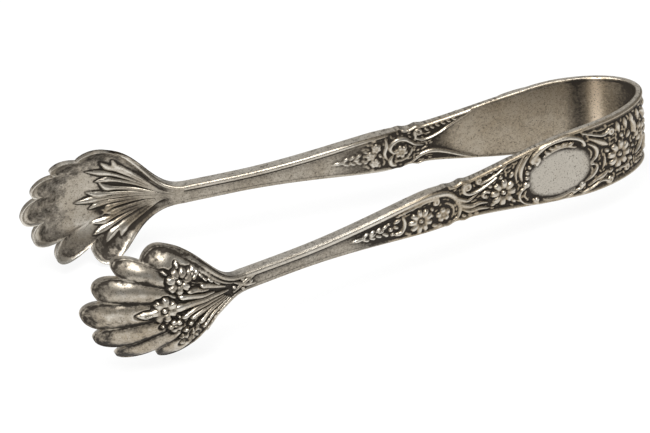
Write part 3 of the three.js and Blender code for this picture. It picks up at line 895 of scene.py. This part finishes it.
def cut_inner_claw_die():
    """The claw's hollow: smooth, with three fronds of long ridges that fan out from the neck."""
    die = Die("inner_claw_die", (-34, -16), (3, 16))
    ridges = (
        [(-4.2, 0.8), (-7.5, 3.0), (-10.5, 5.2), (-13.4, 6.9)],
        [(-4.2, 0.7), (-8.0, 2.8), (-12.0, 5.3), (-15.2, 7.1)],
        [(-4.2, 0.6), (-8.5, 2.4), (-12.5, 4.3), (-17.2, 5.8)],
        [(-4.2, 0.5), (-8.5, 1.8), (-12.0, 2.9), (-15.4, 3.7)],
        [(-4.0, 0.2), (-8.0, 0.6), (-12.0, 1.2), (-15.2, 1.8)],
        [(-4.0, 0.1), (-9.0, 0.0), (-13.0, 0.2), (-17.2, 0.4)],
        [(-4.0, -0.1), (-9.0, -0.5), (-14.0, -0.6), (-19.2, -0.6)],
        [(-4.0, -0.3), (-9.0, -1.1), (-13.0, -1.4), (-16.8, -1.7)],
        [(-4.0, -0.4), (-9.0, -1.6), (-12.0, -2.2), (-14.8, -3.0)],
        [(-4.2, -0.6), (-8.0, -2.2), (-11.0, -3.1), (-14.4, -4.0)],
        [(-4.2, -0.7), (-8.5, -2.9), (-12.5, -4.3), (-16.3, -5.6)],
        [(-4.2, -0.8), (-8.5, -3.4), (-12.5, -5.5), (-16.2, -7.1)],
        [(-4.2, -0.9), (-8.0, -3.9), (-11.5, -6.3), (-14.8, -8.5)],
        [(-4.2, -1.0), (-7.5, -4.2), (-9.9, -6.1), (-12.0, -7.5)],
    )
    for spine in (
        [(-3.0, 0.3), (-7.0, 2.0), (-11.0, 4.0), (-15.5, 5.6)],
        [(-3.0, 0.0), (-8.0, -0.2), (-12.0, -0.4), (-17.0, -0.5)],
        [(-3.0, -0.3), (-7.0, -2.4), (-11.0, -4.6), (-15.0, -6.6)],
    ):
        die.line(spine, (0.5, 2.4, 4.4, 3.2), (0.02, 0.14, 0.26, 0.24))
    plain = len(die.taken)
    for leaf in (ridges[:4], ridges[4:9], ridges[9:]):
        for side, path in zip((2, 1, 0, -1, -2), leaf):
            inner, tip = np.array(path[2]), np.array(path[3])
            start = np.array([path[0][0] + 2.6, 0.55 * path[0][1]])
            way = math.radians(-9 * side)
            turned = np.array([[math.cos(way), -math.sin(way)], [math.sin(way), math.cos(way)]]) @ (tip - inner)
            points = [start, *path[:2], inner, inner + (tip - inner) * 0.55, inner + turned * 1.12]
            die.line(points, (0.2, 0.4, 0.7, 0.85, 1.5, 0.12), (0.02, 0.2, 0.4, 0.46, 0.58, 0.25))
    SPOTS["inner_claw_die"] = np.array(die.taken[plain:])
    die.line(lobed_edge(10) * (0.992, 0.985), 0.6, 0.26, 2)
    die.line(
        flow_line((0.68, 0.79, 0.87, 0.91, 0.935), -0.12, 0.97, 24), (0.95, 0.85, 0.75, 0.5), (0.48, 0.42, 0.36, 0.2),
        2,
    )
    die.line(flow_line((-0.86, -0.93), 0.1, 0.97, 24), (0.2, 0.8, 0.9, 0.5), (0.05, 0.3, 0.35, 0.2), 2)
    return die.finish()


# Blanks: closed sheets that are struck on the dies


def make_blank(name, cells):
    """A flat closed sheet of two faces, 2 by 2, with a vertex group for each face."""
    deselect()
    bpy.ops.mesh.primitive_grid_add(x_subdivisions=cells[0], y_subdivisions=cells[1], size=2)
    sheet = bpy.context.object
    sheet.name = sheet.data.name = name
    bpy.ops.object.mode_set(mode="EDIT")
    bpy.ops.mesh.select_all(action="SELECT")
    bpy.ops.mesh.extrude_region_move(TRANSFORM_OT_translate={"value": (0, 0, -1)})
    face_outwards()
    bpy.ops.object.shade_smooth_by_angle(angle=math.radians(60))
    points = points_of(sheet.data)
    outer = points[:, 2] > -0.5
    within = np.abs(points[:, :2]).max(1) < WALL_SHARE
    for group, members in (("outer", outer), ("inner", ~outer), ("within", within)):
        sheet.vertex_groups.new(name=group).add(np.flatnonzero(members).tolist(), 1, "REPLACE")
    return sheet, outer


def blurred(field, reach):
    """A grid of numbers, each averaged with its neighbours within reach cells."""
    for axis, cells in enumerate(reach):
        sides = [(cells, cells) if k == axis else (0, 0) for k in (0, 1)]
        wide = np.pad(field, sides, mode="edge")
        count = field.shape[axis]
        rows = [np.take(wide, range(k, k + count), axis) for k in range(2 * cells + 1)]
        field = sum(rows) / len(rows)
    return field


def averaged(values, place, cells, spacing, reach):
    """Numbers on one face, each averaged over this many millimetres around it."""
    column = np.rint((place[:, 0] + 1) / 2 * cells[0]).astype(int)
    row = np.rint((place[:, 1] + 1) / 2 * cells[1]).astype(int)
    field = np.zeros((cells[0] + 1, cells[1] + 1))
    field[column, row] = values
    steps = [max(1, round(reach / step)) for step in spacing]
    return blurred(blurred(field, steps), steps)[column, row]


def gap_to(spots, points):
    """How far each point lies from the ornament that takes these spots."""
    gap = np.full(len(points), np.inf)
    for x, y, reach in spots:
        gap = np.minimum(gap, np.hypot(points[:, 0] - x, points[:, 1] - y) - reach)
    return gap


def strike(sheet, outer, place, dies, cells, spacing, tones, deep, flute=0, level=0):
    """Strikes both faces and returns their heights. Relief, tarnish and wall are kept as attributes.

    Tones are the dark ground, the tarnish, and the stains with painted shade and highlights. The ground fades out up to
    the height deep. Flute is added to what lies low, and level to the ornament above it.
    """
    ground, tarnish, stain_and_painted_light = tones
    for group, members, die in (("outer", outer, dies[0]), ("inner", ~outer, dies[1])):
        points = points_of(sheet.data)
        points[members, 2] = STRIKE_HEIGHT
        set_points(sheet.data, points)
        apply_modifier(
            sheet,
            "SHRINKWRAP",
            target=bpy.data.objects[die],
            wrap_method="PROJECT",
            use_project_z=True,
            use_negative_direction=True,
            use_positive_direction=False,
            vertex_group=group,
        )
    rounds = round(4 * (SOFTNESS / np.mean(spacing)) ** 2)
    apply_modifier(sheet, "SMOOTH", factor=0.5, iterations=rounds, use_x=False, use_y=False, vertex_group="within")
    heights = points_of(sheet.data)[:, 2]
    if heights.max() > STRIKE_HEIGHT - 1:
        raise RuntimeError(f"{sheet.name} reaches past its die")
    over = ease(heights, 0.46, 0.64)
    heights = heights + flute * (1 - over) + level * over
    relief = np.zeros(len(heights))
    for face in (outer, ~outer):
        rises = [
            (heights[face] - averaged(heights[face], place[face], cells, spacing, reach)) / full * weight
            for reach, full, weight in RELIEF_SCALES
        ]
        relief[face] = np.clip(sum(rises), -1, 1)
    inside = 1 - ease(np.abs(place[:, 1]), 0.9, 0.985)
    # The stains add painted shade and painted highlights to the relief here
    relief = np.clip(relief + stain_and_painted_light - ground * inside * (1 - ease(heights, 0.03, deep)), -1, 1)
    # The wall is evenly bright, and less tarnished
    wall = (np.abs(place[:, 1]) > WALL_SHARE).astype(float)
    relief = relief * (1 - wall) + 0.3 * wall
    tarnish = tarnish * (1 - 0.7 * wall)
    for name, values in (("relief", relief), ("tarnish", tarnish), ("wall", wall)):
        sheet.data.attributes.new(name, "FLOAT", "POINT").data.foreach_set("value", values.astype(np.float32))
    return heights


def bend_curve():
    """The plan of the front arm's outer face as a curve in millimetres."""
    known = bpy.data.objects.get("bend_path")
    if known:
        return known
    deselect()
    bpy.ops.curve.primitive_bezier_curve_add(location=(0, 0, 0))
    path = bpy.context.object
    path.name = "bend_path"
    path.data.dimensions = "2D"
    path.data.fill_mode = "NONE"
    path.data.resolution_u = 512
    path.data.use_deform_bounds = False
    bow, arm = plan_points()
    corners = path.data.splines[0].bezier_points
    corners.add(1)
    places = ((bow[0], bow[0], bow[1]), (bow[2], bow[3], arm[1]), (arm[2], arm[3], arm[3]))
    for corner, (left, middle, right) in zip(corners, places):
        corner.handle_left_type = corner.handle_right_type = "FREE"
        corner.handle_left, corner.co, corner.handle_right = (*left, 0), (*middle, 0), (*right, 0)
    return path


def strip_tones(along, across, edge, outer):
    """Dark ground, tarnish, and stains with painted shade and highlights of the strip; edge is the share of the way
    from its middle line.
    """
    x, y, long, wide = CARTOUCHE
    field = np.hypot((along - x) / (long / 2), (across - y) / (wide / 2))
    outer_in, outer_out = (ease(along, *fade) for fade in OUTER_SPRAY)
    inner_in, inner_out = (ease(along, *fade) for fade in INNER_SPRAY)
    # The ground is dark among the ornament, and fades out along the sprays
    outer_ground = 0.86 - 0.2 * outer_in - 0.61 * outer_out
    inner_ground = 0.55 * ease(along, 36, 42) - 0.17 * ease(along, 50, 54) - 0.33 * ease(along, 56, 62)
    # Tarnish lies on the worked ground and on the inner face, most of all in the bow, and goes above 1 in a band of
    # painted reflection
    reflection_band, stem = bump(along, *PAINTED_REFLECTION), ease(along, *STEM_START)
    outer_tarnish = ease(field, 0.8, 1.05) * (1 - stem) + 0.25 * stem
    inner_tarnish = 1 - 0.25 * ease(along, 5, 20) - 0.35 * ease(along, 50, 60) + 1.1 * reflection_band
    # Stains and painted light: a clean cartouche; inside, a painted highlight in the band of reflection, and painted
    # shade beside it, on the rim and at the crown, where there is tarnish too; clean sprays, and dark lines beside the
    # stem's ribs
    outer_stain = 0.1 * (1 - ease(field, 0.8, 1))
    rim_painted_shade = 0.4 * ease(edge, 0.89, 0.93) * (1 - ease(along, 30, 36))
    inner_stain_and_painted_light = 0.2 * reflection_band - 0.58 * bump(along, *PAINTED_SHADE_BAND) - 0.74 * (1 - ease(along, 0, 11)) - rim_painted_shade
    sprays = np.where(outer, outer_in - outer_out, inner_in - inner_out)
    half = half_width(along)
    lines = 0.55 * bump(half - across, np.where(outer, 1.32, 1.18), 0.13) + 0.3 * bump(half + across, 0.6, 0.1)
    stain_and_painted_light = np.where(outer, outer_stain, inner_stain_and_painted_light) + 0.12 * sprays - lines * ease(along, 56, 60)
    return np.where(outer, outer_ground, inner_ground), np.where(outer, outer_tarnish, inner_tarnish), stain_and_painted_light


def mark_edge(sheet, along, wall, outer):
    """Slanting dark marks on the edge beside the ornament."""
    marked = ease(along, 26, 29) - ease(along, 47, 54)
    slant = np.sin(EDGE_MARKS * along + np.where(outer, 0, 1.6)) + 0.6 * np.sin(0.37 * EDGE_MARKS * along)
    kept = sheet.data.attributes["relief"].data
    relief = np.empty(len(along), np.float32)
    kept.foreach_get("value", relief)
    relief -= 0.7 * marked * ease(slant, -0.1, 0.7) * wall
    kept.foreach_set("value", relief)


def strip_piece(name, start, stop, cells):
    """A length of the front half of the strip, struck flat and bent to the plan."""
    sheet, outer = make_blank(name, cells)
    place = points_of(sheet.data)[:, :2].copy()
    along = start + (stop - start) * (place[:, 0] + 1) / 2
    across = place[:, 1] * half_width(along)
    edge = np.abs(place[:, 1])
    set_points(sheet.data, np.column_stack([along, across, np.zeros(len(along))]))
    width = 2 * float(half_width(np.array([(start + stop) / 2]))[0])
    spacing = (stop - start) / cells[0], width / cells[1]
    tones = strip_tones(along, across, edge, outer)
    heights = strike(sheet, outer, place, STRIP_DIES, cells, spacing, tones, 0.3)
    mark_edge(sheet, along, edge > WALL_SHARE, outer)
    # Both faces round over towards the edges
    band = 1 - ease(along, 46, 52)
    turn = np.clip((edge - ROUND_START) / ROUND_REACH, 0, 1)
    rounding = 1 - np.sqrt(1 - turn**2)
    rim = np.where(outer, -0.06, -0.22) * band + 0.02
    heights = heights + (rim - heights) * rounding - size("ground_depth") * np.where(outer, 1, INNER_GROUND)
    proud = np.where(outer, heights, -thickness(along) - heights)
    set_points(sheet.data, np.column_stack([along, proud, across - centre_drop(along)]))
    apply_modifier(sheet, "CURVE", object=bend_curve(), deform_axis="POS_X")
    place_in_row(sheet)
    return sheet


def place_in_row(sheet):
    """From millimetres round the crown to metres in the row's frame."""
    sheet.matrix_world = Matrix.Translation(CROWN) @ Matrix.Scale(MM, 4)
    pick(sheet)
    bpy.ops.object.transform_apply(location=True, rotation=True, scale=True)
    face_outwards()


def claw_tones(flat, share, side, outer):
    """Dark ground, tarnish, and stains with painted shade and highlights of the claw; share runs from neck to tips,
    side from low to high.
    """
    # The ground is dark among the leaves of the back, and between and around the fronds in the hollow; the dark outline
    # around the fronds is partly oxide and partly painted shadow
    fluted = 1 - 0.9 * ease(share, 0.6, 0.74)
    ribbed = 1 - 0.35 * ease(np.abs(side), 0.4, 0.7)
    back_ground = 0.55 * ease(share, 0.02, 0.12) * fluted * ribbed
    fronds = ease(share, 0.1, 0.2) * (1 - ease(share, 0.5, 0.62))
    between = 1 - 0.75 * ease(np.abs(side), 0.5, 0.8)
    outline = 1 - ease(gap_to(SPOTS["inner_claw_die"], flat), 0.1, 0.45)
    hollow_ground = np.maximum(0.6 * fronds * between, 0.7 * outline * ease(share, 0.3, 0.42))
    ground = 0.05 + np.where(outer, back_ground, hollow_ground)
    # Tarnish is heavier low on the back; the extra tarnish on the lower fronds is painted shade
    low_frond_shade = ease(-side, -0.1, 0.4) * (ease(share, 0.26, 0.44) - ease(share, 0.6, 0.68))
    back_tarnish = 0.25 + (0.45 - 0.3 * ease(side, -0.3, 0.5)) * ease(share, 0.1, 0.4)
    tarnish = np.where(outer, back_tarnish, 0.38 + 0.5 * low_frond_shade)
    # Stains and painted shade of the back: streaks along the flutes; dark oxide in the grooves with painted shade up
    # the lower sides of the flutes; darker lower lobes; painted shade at the tips; and painted shade that dulls the top
    # lobe
    chance = np.random.default_rng(3).uniform(-1, 1, STREAKS)
    streaks = 0.2 * np.interp(side, np.linspace(-1, 1, STREAKS), chance)
    streaks = streaks * ease(share, 0.4, 0.55) * (1 - ease(share, 0.7, 0.9))
    groove = 0.75 * shaded_undersides(side) * ease(share, 0.45, 0.6) * (1 - ease(share, 0.86, 0.96))
    groove = groove + 0.22 * (1 - ease(side, -0.5, 0.2)) * ease(share, 0.5, 0.65) + 0.3 * ease(share, 0.88, 0.99)
    top_lobe_shade = 0.28 * ease(side, 0.68, 0.78) * ease(share, 0.48, 0.62)
    mottle = np.array([noise.fractal((x, y, 0), 0.4, 2, 4) for x, y in flat * 0.7]) * ease(share, 0.4, 0.6)
    back_stain_and_shade = streaks - groove - top_lobe_shade + 0.5 * mottle
    # Painted light and stains of the hollow: darker lobes inside a painted highlight along the rim, painted shade on
    # the lower fronds and low side, and a painted highlight among the lower lobes
    hollow_stain_and_painted_light = 0.3 * ease(share, 0.45, 0.6) - 0.6 * ease(share, 0.66, 0.9) + 0.95 * ease(share, 0.955, 0.975)
    hollow_stain_and_painted_light = hollow_stain_and_painted_light - 0.6 * low_frond_shade - 0.12 * ease(-side, 0.6, 0.8)
    hollow_stain_and_painted_light = hollow_stain_and_painted_light + 1.1 * bump(side, -0.46, 0.16) * bump(share, 0.79, 0.07)
    return ground, tarnish, np.where(outer, back_stain_and_shade, hollow_stain_and_painted_light + 0.3 * mottle)


def swung(x, y, z, angle):
    """Points turned in plan by this angle."""
    return np.column_stack([x * math.cos(angle) - y * math.sin(angle), x * math.sin(angle) + y * math.cos(angle), z])


def raised(flat, heights, outer):
    """The struck claw's points, raised into a bowl and set on at the neck."""
    x, z = flat.T
    length, width, depth = size("claw_length"), size("bowl_width"), size("bowl_depth")
    half_length, half_side = length / 2 / BOWL_SHARE, width / 2 / BOWL_SHARE
    half_depth = depth / (1 - math.sqrt(1 - BOWL_SHARE**2))
    spread_out = ease(-x, 0, 6)

    def bowl(inset):
        squares = ((x + length / 2) / (half_length - inset)) ** 2 + spread_out * (z / (half_side - inset)) ** 2
        return half_depth - depth - (half_depth - inset) * np.sqrt(1 - squares)

    wall = size("claw_thickness")
    neck_wall = half_depth - depth - (half_depth - wall) * math.sqrt(1 - (length / 2 / (half_length - wall)) ** 2)
    hollow = bowl(wall) + (size("stem_thickness") - neck_wall) * (1 - ease(-x, 0, CLAW_ROOT))
    start = bowl(0) * (ease(-x, -2, 10) - 1)
    y = start + np.where(outer, bowl(0) - heights, hollow + heights)
    # At the neck the claw lies in the stem's own line, and further out it is tilted up
    open_out = math.asin((size("tip_span") - size("neck_span")) / 2 / length)
    turned = swung(x, y, z, open_out) @ np.array(Matrix.Rotation(math.radians(CLAW_TILT), 3, "Y")).T
    straight = swung(x, y, z + x / SINK_RUN, math.atan(NECK_SLOPE))
    blend = ease(-x, 0, 8)[:, None]
    neck = np.array([-size("neck_reach"), -size("neck_span") / 2, -CENTRE_SINK])
    return neck + straight + (turned - straight) * blend


def claw_piece(name, cells):
    """The front claw, struck flat and raised into a bowl."""
    sheet, outer = make_blank(name, cells)
    place = points_of(sheet.data)[:, :2].copy()
    share, side = (place[:, 0] + 1) / 2, place[:, 1]
    flat = flow_lines(side, share)
    set_points(sheet.data, np.column_stack([flat, np.zeros(len(flat))]))
    # The flutes sink in beside the ornament, and show faintly in the hollow
    clear = 0.3 + 0.7 * ease(gap_to(SPOTS["outer_claw_die"], flat), -0.05, 0.6)
    rise = np.where(outer, FLUTE_HEIGHT * clear, -FLUTE_HEIGHT * 0.12 * ease(share, 0.75, 0.9))
    flute = flutes(side, share) * rise
    level = np.where(outer, 0.5 * FLUTE_HEIGHT * ease(share, 0.36, 0.6), 0)
    tones = claw_tones(flat, share, side, outer)
    deep = np.where(outer, 0.7, 0.3)
    heights = strike(sheet, outer, place, CLAW_DIES, cells, CLAW_SPACING, tones, deep, flute, level)
    edge = ease(np.abs(side), 0.95, 1) * (1 - ease(share, 0.1, 0.3))
    heights = heights + (0.05 - heights) * edge - size("ground_depth") * np.where(outer, 1, INNER_GROUND)
    set_points(sheet.data, raised(flat, heights, outer))
    place_in_row(sheet)
    return sheet


def mirrored(front, name):
    """The rear arm's copy of a front piece."""
    pick(front)
    bpy.ops.object.duplicate()
    rear = bpy.context.object
    rear.name = rear.data.name = name
    bpy.ops.object.mode_set(mode="EDIT")
    bpy.ops.mesh.select_all(action="SELECT")
    bpy.ops.transform.resize(value=(1, -1, 1), center_override=(0, 0, 0))
    face_outwards()
    return rear


def both_sides(front, rear_name):
    """The front piece and its mirrored copy, each with the name and the sign of its side."""
    return ("front", -1, front), ("rear", 1, mirrored(front, rear_name))


def row_point(distance, sign):
    """A point of the outer face in the row's frame; sign is -1 in front and 1 at the rear."""
    along, reach = plan_table()
    side = np.interp(distance, along, plan_path()[:, 1])
    return CROWN + Vector((-np.interp(distance, along, reach), -sign * side, 0)) * MM


def finish_piece(piece, *nodes):
    """Gives a piece its finish and hides the CAD nodes that it stands for."""
    piece.data.materials.clear()
    piece.data.materials.append(silver_finish())
    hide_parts(*nodes)


# Finish


class Maths:
    """A shader socket in an expression: arithmetic on it adds Math nodes."""

    def __init__(self, tree, socket):
        self.tree, self.socket = tree, socket

    def node(self, kind, settings, inputs, output=0):
        """Any other node: its type, its settings and the values or links of its sockets."""
        made = self.tree.nodes.new(kind)
        for name, value in settings.items():
            setattr(made, name, value)
        for name, value in inputs.items():
            if isinstance(value, Maths):
                self.tree.links.new(value.socket, made.inputs[name])
            else:
                made.inputs[name].default_value = value
        return Maths(self.tree, made.outputs[output])

    def output(self, shader):
        """Ends a material with this shader."""
        end = self.tree.nodes.new("ShaderNodeOutputMaterial")
        self.tree.links.new(shader.socket, end.inputs["Surface"])

    def math(self, operation, *values, clamp=False):
        """A Math node."""
        return self.node("ShaderNodeMath", {"operation": operation, "use_clamp": clamp}, dict(enumerate(values)))

    def __add__(self, other):
        return self.math("ADD", self, other)

    __radd__ = __add__

    def __sub__(self, other):
        return self.math("SUBTRACT", self, other)

    def __rsub__(self, other):
        return self.math("SUBTRACT", other, self)

    def __mul__(self, other):
        return self.math("MULTIPLY", self, other)

    def __pow__(self, other):
        return self.math("POWER", self, other)

    def clamped(self):
        """This value, kept between 0 and 1."""
        return self.math("ADD", self, 0.0, clamp=True)

    def mixed(self, low, high):
        """A colour from low to high, where this value goes from 0 to 1."""
        return self.node("ShaderNodeMix", {"data_type": "RGBA"}, {0: self, 6: low, 7: high}, 2)


def new_material(name):
    """A material without nodes, and where its expressions start."""
    made = bpy.data.materials.new(name)
    made.use_nodes = True
    made.node_tree.nodes.clear()
    return made, Maths(made.node_tree, None)


def colour(value):
    """A colour with full alpha."""
    return (*value, 1.0)


def silver_finish():
    """Old silver: rubbed high points, satin faces, dark recesses and fine pits, with the painted shade, highlights and
    reflection that the relief and tarnish carry.
    """
    known = bpy.data.materials.get("old_silver")
    if known:
        return known
    look = bpy.context.scene.tongs_finish
    made, start = new_material("old_silver")
    place = start.node("ShaderNodeTexCoord", {}, {}, "Object")
    relief, tarnish, wall = (
        start.node("ShaderNodeAttribute", {"attribute_name": name}, {}, "Fac") for name in ("relief", "tarnish", "wall")
    )

    def cloud(scale, detail, roughness=0.55):
        """Noise of this many spots to the metre."""
        inputs = {"Vector": place, "Scale": scale, "Detail": detail, "Roughness": roughness}
        return start.node("ShaderNodeTexNoise", {}, inputs)

    blotches = cloud(260.0, 3.0)
    grain = cloud(2000.0, 4.0, 0.65)
    speckle = cloud(3800.0, 2.0)
    # Sunk and proud follow the relief, which also carries painted shade and painted highlights
    sunk = (0.02 - relief * 1.5 + (blotches - 0.5) * 0.5 - (grain - 0.5) * 1.3).clamped()
    proud = (relief * 1.15 - (blotches - 0.5) * 0.4 + (grain - 0.5) * 0.9 - 0.22).clamped()
    pits = ((speckle - 0.56) * 7.0).clamped() * (1 - proud * 0.7)
    tint = (tarnish + (blotches - 0.5) * 0.8).clamped().mixed(colour(look.silver), colour(look.tarnished))
    # Where tarnish goes above 1, the rubbed colour paints a warm reflection inside the bow
    tint = (tarnish - 1).clamped().mixed(tint, colour(look.rubbed))
    worn = (proud * (1 - tarnish * 0.25)).mixed(tint, colour(look.bright))
    dark = (sunk**0.8).mixed(worn, colour(look.patina_and_shade))
    marks = ((cloud(1300.0, 2.0) - 0.52) * 6.0).clamped() * wall
    shade = (pits * 0.75 + marks * 0.5).clamped().mixed(dark, colour(look.patina_and_shade))
    rough = look.roughness + sunk * 0.25 - proud * 0.08 + tarnish * 0.05 + (grain - 0.5) * 0.22
    uneven = {"Strength": 0.5, "Distance": 0.00003, "Height": grain * 0.6 + speckle * 0.6}
    normal = start.node("ShaderNodeBump", {}, uneven)
    metal = {"Base Color": shade, "Metallic": 1 - sunk * 0.45, "Roughness": rough.clamped(), "Normal": normal}
    start.output(start.node("ShaderNodeBsdfPrincipled", {}, metal))
    return made


# Operators


class TONGS_OT_dies(bpy.types.Operator):
    """Cut the four dies that the blanks are struck on"""

    bl_idname = "tongs.dies"
    bl_label = "Cut dies"

    def execute(self, context):
        for cut in (cut_outer_strip_die, cut_inner_strip_die, cut_outer_claw_die, cut_inner_claw_die):
            cut()
        return {"FINISHED"}


class TONGS_OT_bow(bpy.types.Operator):
    """Strike and bend the two halves of the bow's crown"""

    bl_idname = "tongs.bow"
    bl_label = "Bow"

    def execute(self, context):
        front = strip_piece("front_bow", 0.0, CROWN_END, CROWN_CELLS)
        for side, sign, piece in both_sides(front, "rear_bow"):
            finish_piece(piece, "bow_crown", f"{side}_bow_shoulder")
            ends = [row_point(distance, sign) for distance in CROWN_FLEX]
            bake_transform(piece)
        return {"FINISHED"}


class TONGS_OT_panels(bpy.types.Operator):
    """Strike and bend the two handle panels with their cartouches"""

    bl_idname = "tongs.panels"
    bl_label = "Handle panels"

    def execute(self, context):
        front = strip_piece("front_panel", CROWN_END, distance_at(size("notch_reach")), PANEL_CELLS)
        for side, sign, piece in both_sides(front, "rear_panel"):
            finish_piece(piece, f"{side}_handle_panel")
            ends = [row_point(distance, sign) for distance in ARM_FLEX]
            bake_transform(piece)
        return {"FINISHED"}


class TONGS_OT_stems(bpy.types.Operator):
    """Strike and bend the two ribbed stems"""

    bl_idname = "tongs.stems"
    bl_label = "Stems"

    def execute(self, context):
        start, stop = distance_at(size("notch_reach")), plan_table()[0][-1]
        front = strip_piece("front_stem_struck", start, stop, STEM_CELLS)
        for side, _, piece in both_sides(front, "rear_stem_struck"):
            finish_piece(piece, f"{side}_stem")
            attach(piece, f"{side}_arm")
        return {"FINISHED"}


class TONGS_OT_claws(bpy.types.Operator):
    """Strike the two lobed claws and raise them into bowls"""

    bl_idname = "tongs.claws"
    bl_label = "Claws"

    def execute(self, context):
        front = claw_piece("front_claw_struck", CLAW_CELLS)
        for side, _, piece in both_sides(front, "rear_claw_struck"):
            finish_piece(piece, f"{side}_claw")
            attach(piece, f"{side}_arm")
        return {"FINISHED"}


class TONGS_OT_clear(bpy.types.Operator):
    """Put the dies and the bending curve away"""

    bl_idname = "tongs.clear"
    bl_label = "Clear dies"

    def execute(self, context):
        deselect()
        for each in [o for o in bpy.data.objects if o.name.endswith("_die") or o.name == "bend_path"]:
            bpy.data.objects.remove(each, do_unlink=True)
        return {"FINISHED"}


class TONGS_OT_stage(bpy.types.Operator):
    """Lay a pale floor, hang the soft lights and set up the camera"""

    bl_idname = "tongs.stage"
    bl_label = "Stage"

    def execute(self, context):
        lay_floor()
        hang_lights()
        set_camera()
        context.scene.view_settings.view_transform = "Standard"
        return {"FINISHED"}


def lay_floor():
    """A pale floor: plain white to the camera and in reflections, with a soft shadow."""
    deselect()
    bpy.ops.mesh.primitive_plane_add(size=3, location=(0, 0, FLOOR_LEVEL))
    floor = bpy.context.object
    floor.name = "floor"
    made, start = new_material("pale_floor")
    camera, glossy, through = (
        start.node("ShaderNodeLightPath", {}, {}, f"Is {kind} Ray") for kind in ("Camera", "Glossy", "Transmission")
    )
    matt = start.node("ShaderNodeBsdfDiffuse", {}, {"Color": (0.9, 0.9, 0.9, 1)})
    white = start.node("ShaderNodeEmission", {}, {"Color": (1, 1, 1, 1), "Strength": 1.0})
    share = (camera + glossy + through).clamped() * FLOOR_GLOW
    start.output(start.node("ShaderNodeMixShader", {}, {0: share, 1: matt, 2: white}))
    floor.data.materials.append(made)


def soft_light(name, place, width, height, power):
    """A rectangular softbox that faces the tongs."""
    deselect()
    bpy.ops.object.light_add(type="AREA", location=place)
    lamp = bpy.context.object
    lamp.name = name
    lamp.data.shape = "RECTANGLE"
    lamp.data.size, lamp.data.size_y = width, height
    lamp.data.energy = power
    lamp.rotation_euler = (Vector(LIGHT_AIM) - Vector(place)).to_track_quat("-Z", "Y").to_euler()


def hang_lights():
    """An even pale world with a large softbox above and smaller ones to the left and behind."""
    world = bpy.context.scene.world or bpy.data.worlds.new("studio")
    bpy.context.scene.world = world
    world.use_nodes = True
    back = world.node_tree.nodes["Background"]
    back.inputs["Color"].default_value = (1, 1, 1, 1)
    back.inputs["Strength"].default_value = WORLD_STRENGTH
    for softbox in SOFTBOXES:
        soft_light(*softbox)


def set_camera():
    """The camera of the photograph: a long lens from the front, above and slightly left."""
    turn, rise, roll = math.radians(PHOTO_TURN), math.radians(PHOTO_RISE), math.radians(PHOTO_ROLL)
    aim = CROWN + Vector(PHOTO_AIM) * MM
    back = Vector((math.sin(turn) * math.cos(rise), -math.cos(turn) * math.cos(rise), math.sin(rise)))
    right = Vector((math.cos(turn), math.sin(turn), 0))
    up = back.cross(right)
    x_axis = right * math.cos(roll) + up * math.sin(roll)
    y_axis = up * math.cos(roll) - right * math.sin(roll)
    deselect()
    bpy.ops.object.camera_add(location=aim + back * PHOTO_DISTANCE)
    camera = bpy.context.object
    camera.name = "photo_camera"
    camera.rotation_euler = Matrix((x_axis, y_axis, back)).transposed().to_euler()
    camera.data.sensor_width = SENSOR
    camera.data.lens = SENSOR * PHOTO_FOCUS / PHOTO_WIDTH
    camera.data.clip_start, camera.data.clip_end = 0.01, 20
    bpy.context.scene.camera = camera


class TONGS_PT_panel(bpy.types.Panel):
    """Lists the steps and the sizes"""

    bl_idname = "TONGS_PT_panel"
    bl_label = "Sugar tongs"
    bl_space_type = "VIEW_3D"
    bl_region_type = "UI"
    bl_category = "Tongs"

    def draw(self, context):
        """One button for each step, then all settings."""
        for operator in STEPS:
            self.layout.operator(operator.bl_idname)
        for group in (context.scene.tongs_sizes, context.scene.tongs_finish):
            for name in group.__annotations__:
                self.layout.prop(group, name)


STEPS = (TONGS_OT_dies, TONGS_OT_bow, TONGS_OT_panels, TONGS_OT_stems, TONGS_OT_claws, TONGS_OT_clear, TONGS_OT_stage)
CLASSES = (TongsSizes, TongsFinish, *STEPS, TONGS_PT_panel)


def register():
    """Registers the classes and their settings."""
    for each in CLASSES:
        bpy.utils.register_class(each)
    bpy.types.Scene.tongs_sizes = bpy.props.PointerProperty(type=TongsSizes)
    bpy.types.Scene.tongs_finish = bpy.props.PointerProperty(type=TongsFinish)


def unregister():
    """Takes the settings and the classes away again."""
    del bpy.types.Scene.tongs_finish
    del bpy.types.Scene.tongs_sizes
    for each in reversed(CLASSES):
        bpy.utils.unregister_class(each)


def main():
    """Registers the add-on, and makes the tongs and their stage."""
    register()
    for operator in STEPS:
        group, name = operator.bl_idname.split(".")
        getattr(getattr(bpy.ops, group), name)()


if __name__ == "__main__":
    main()
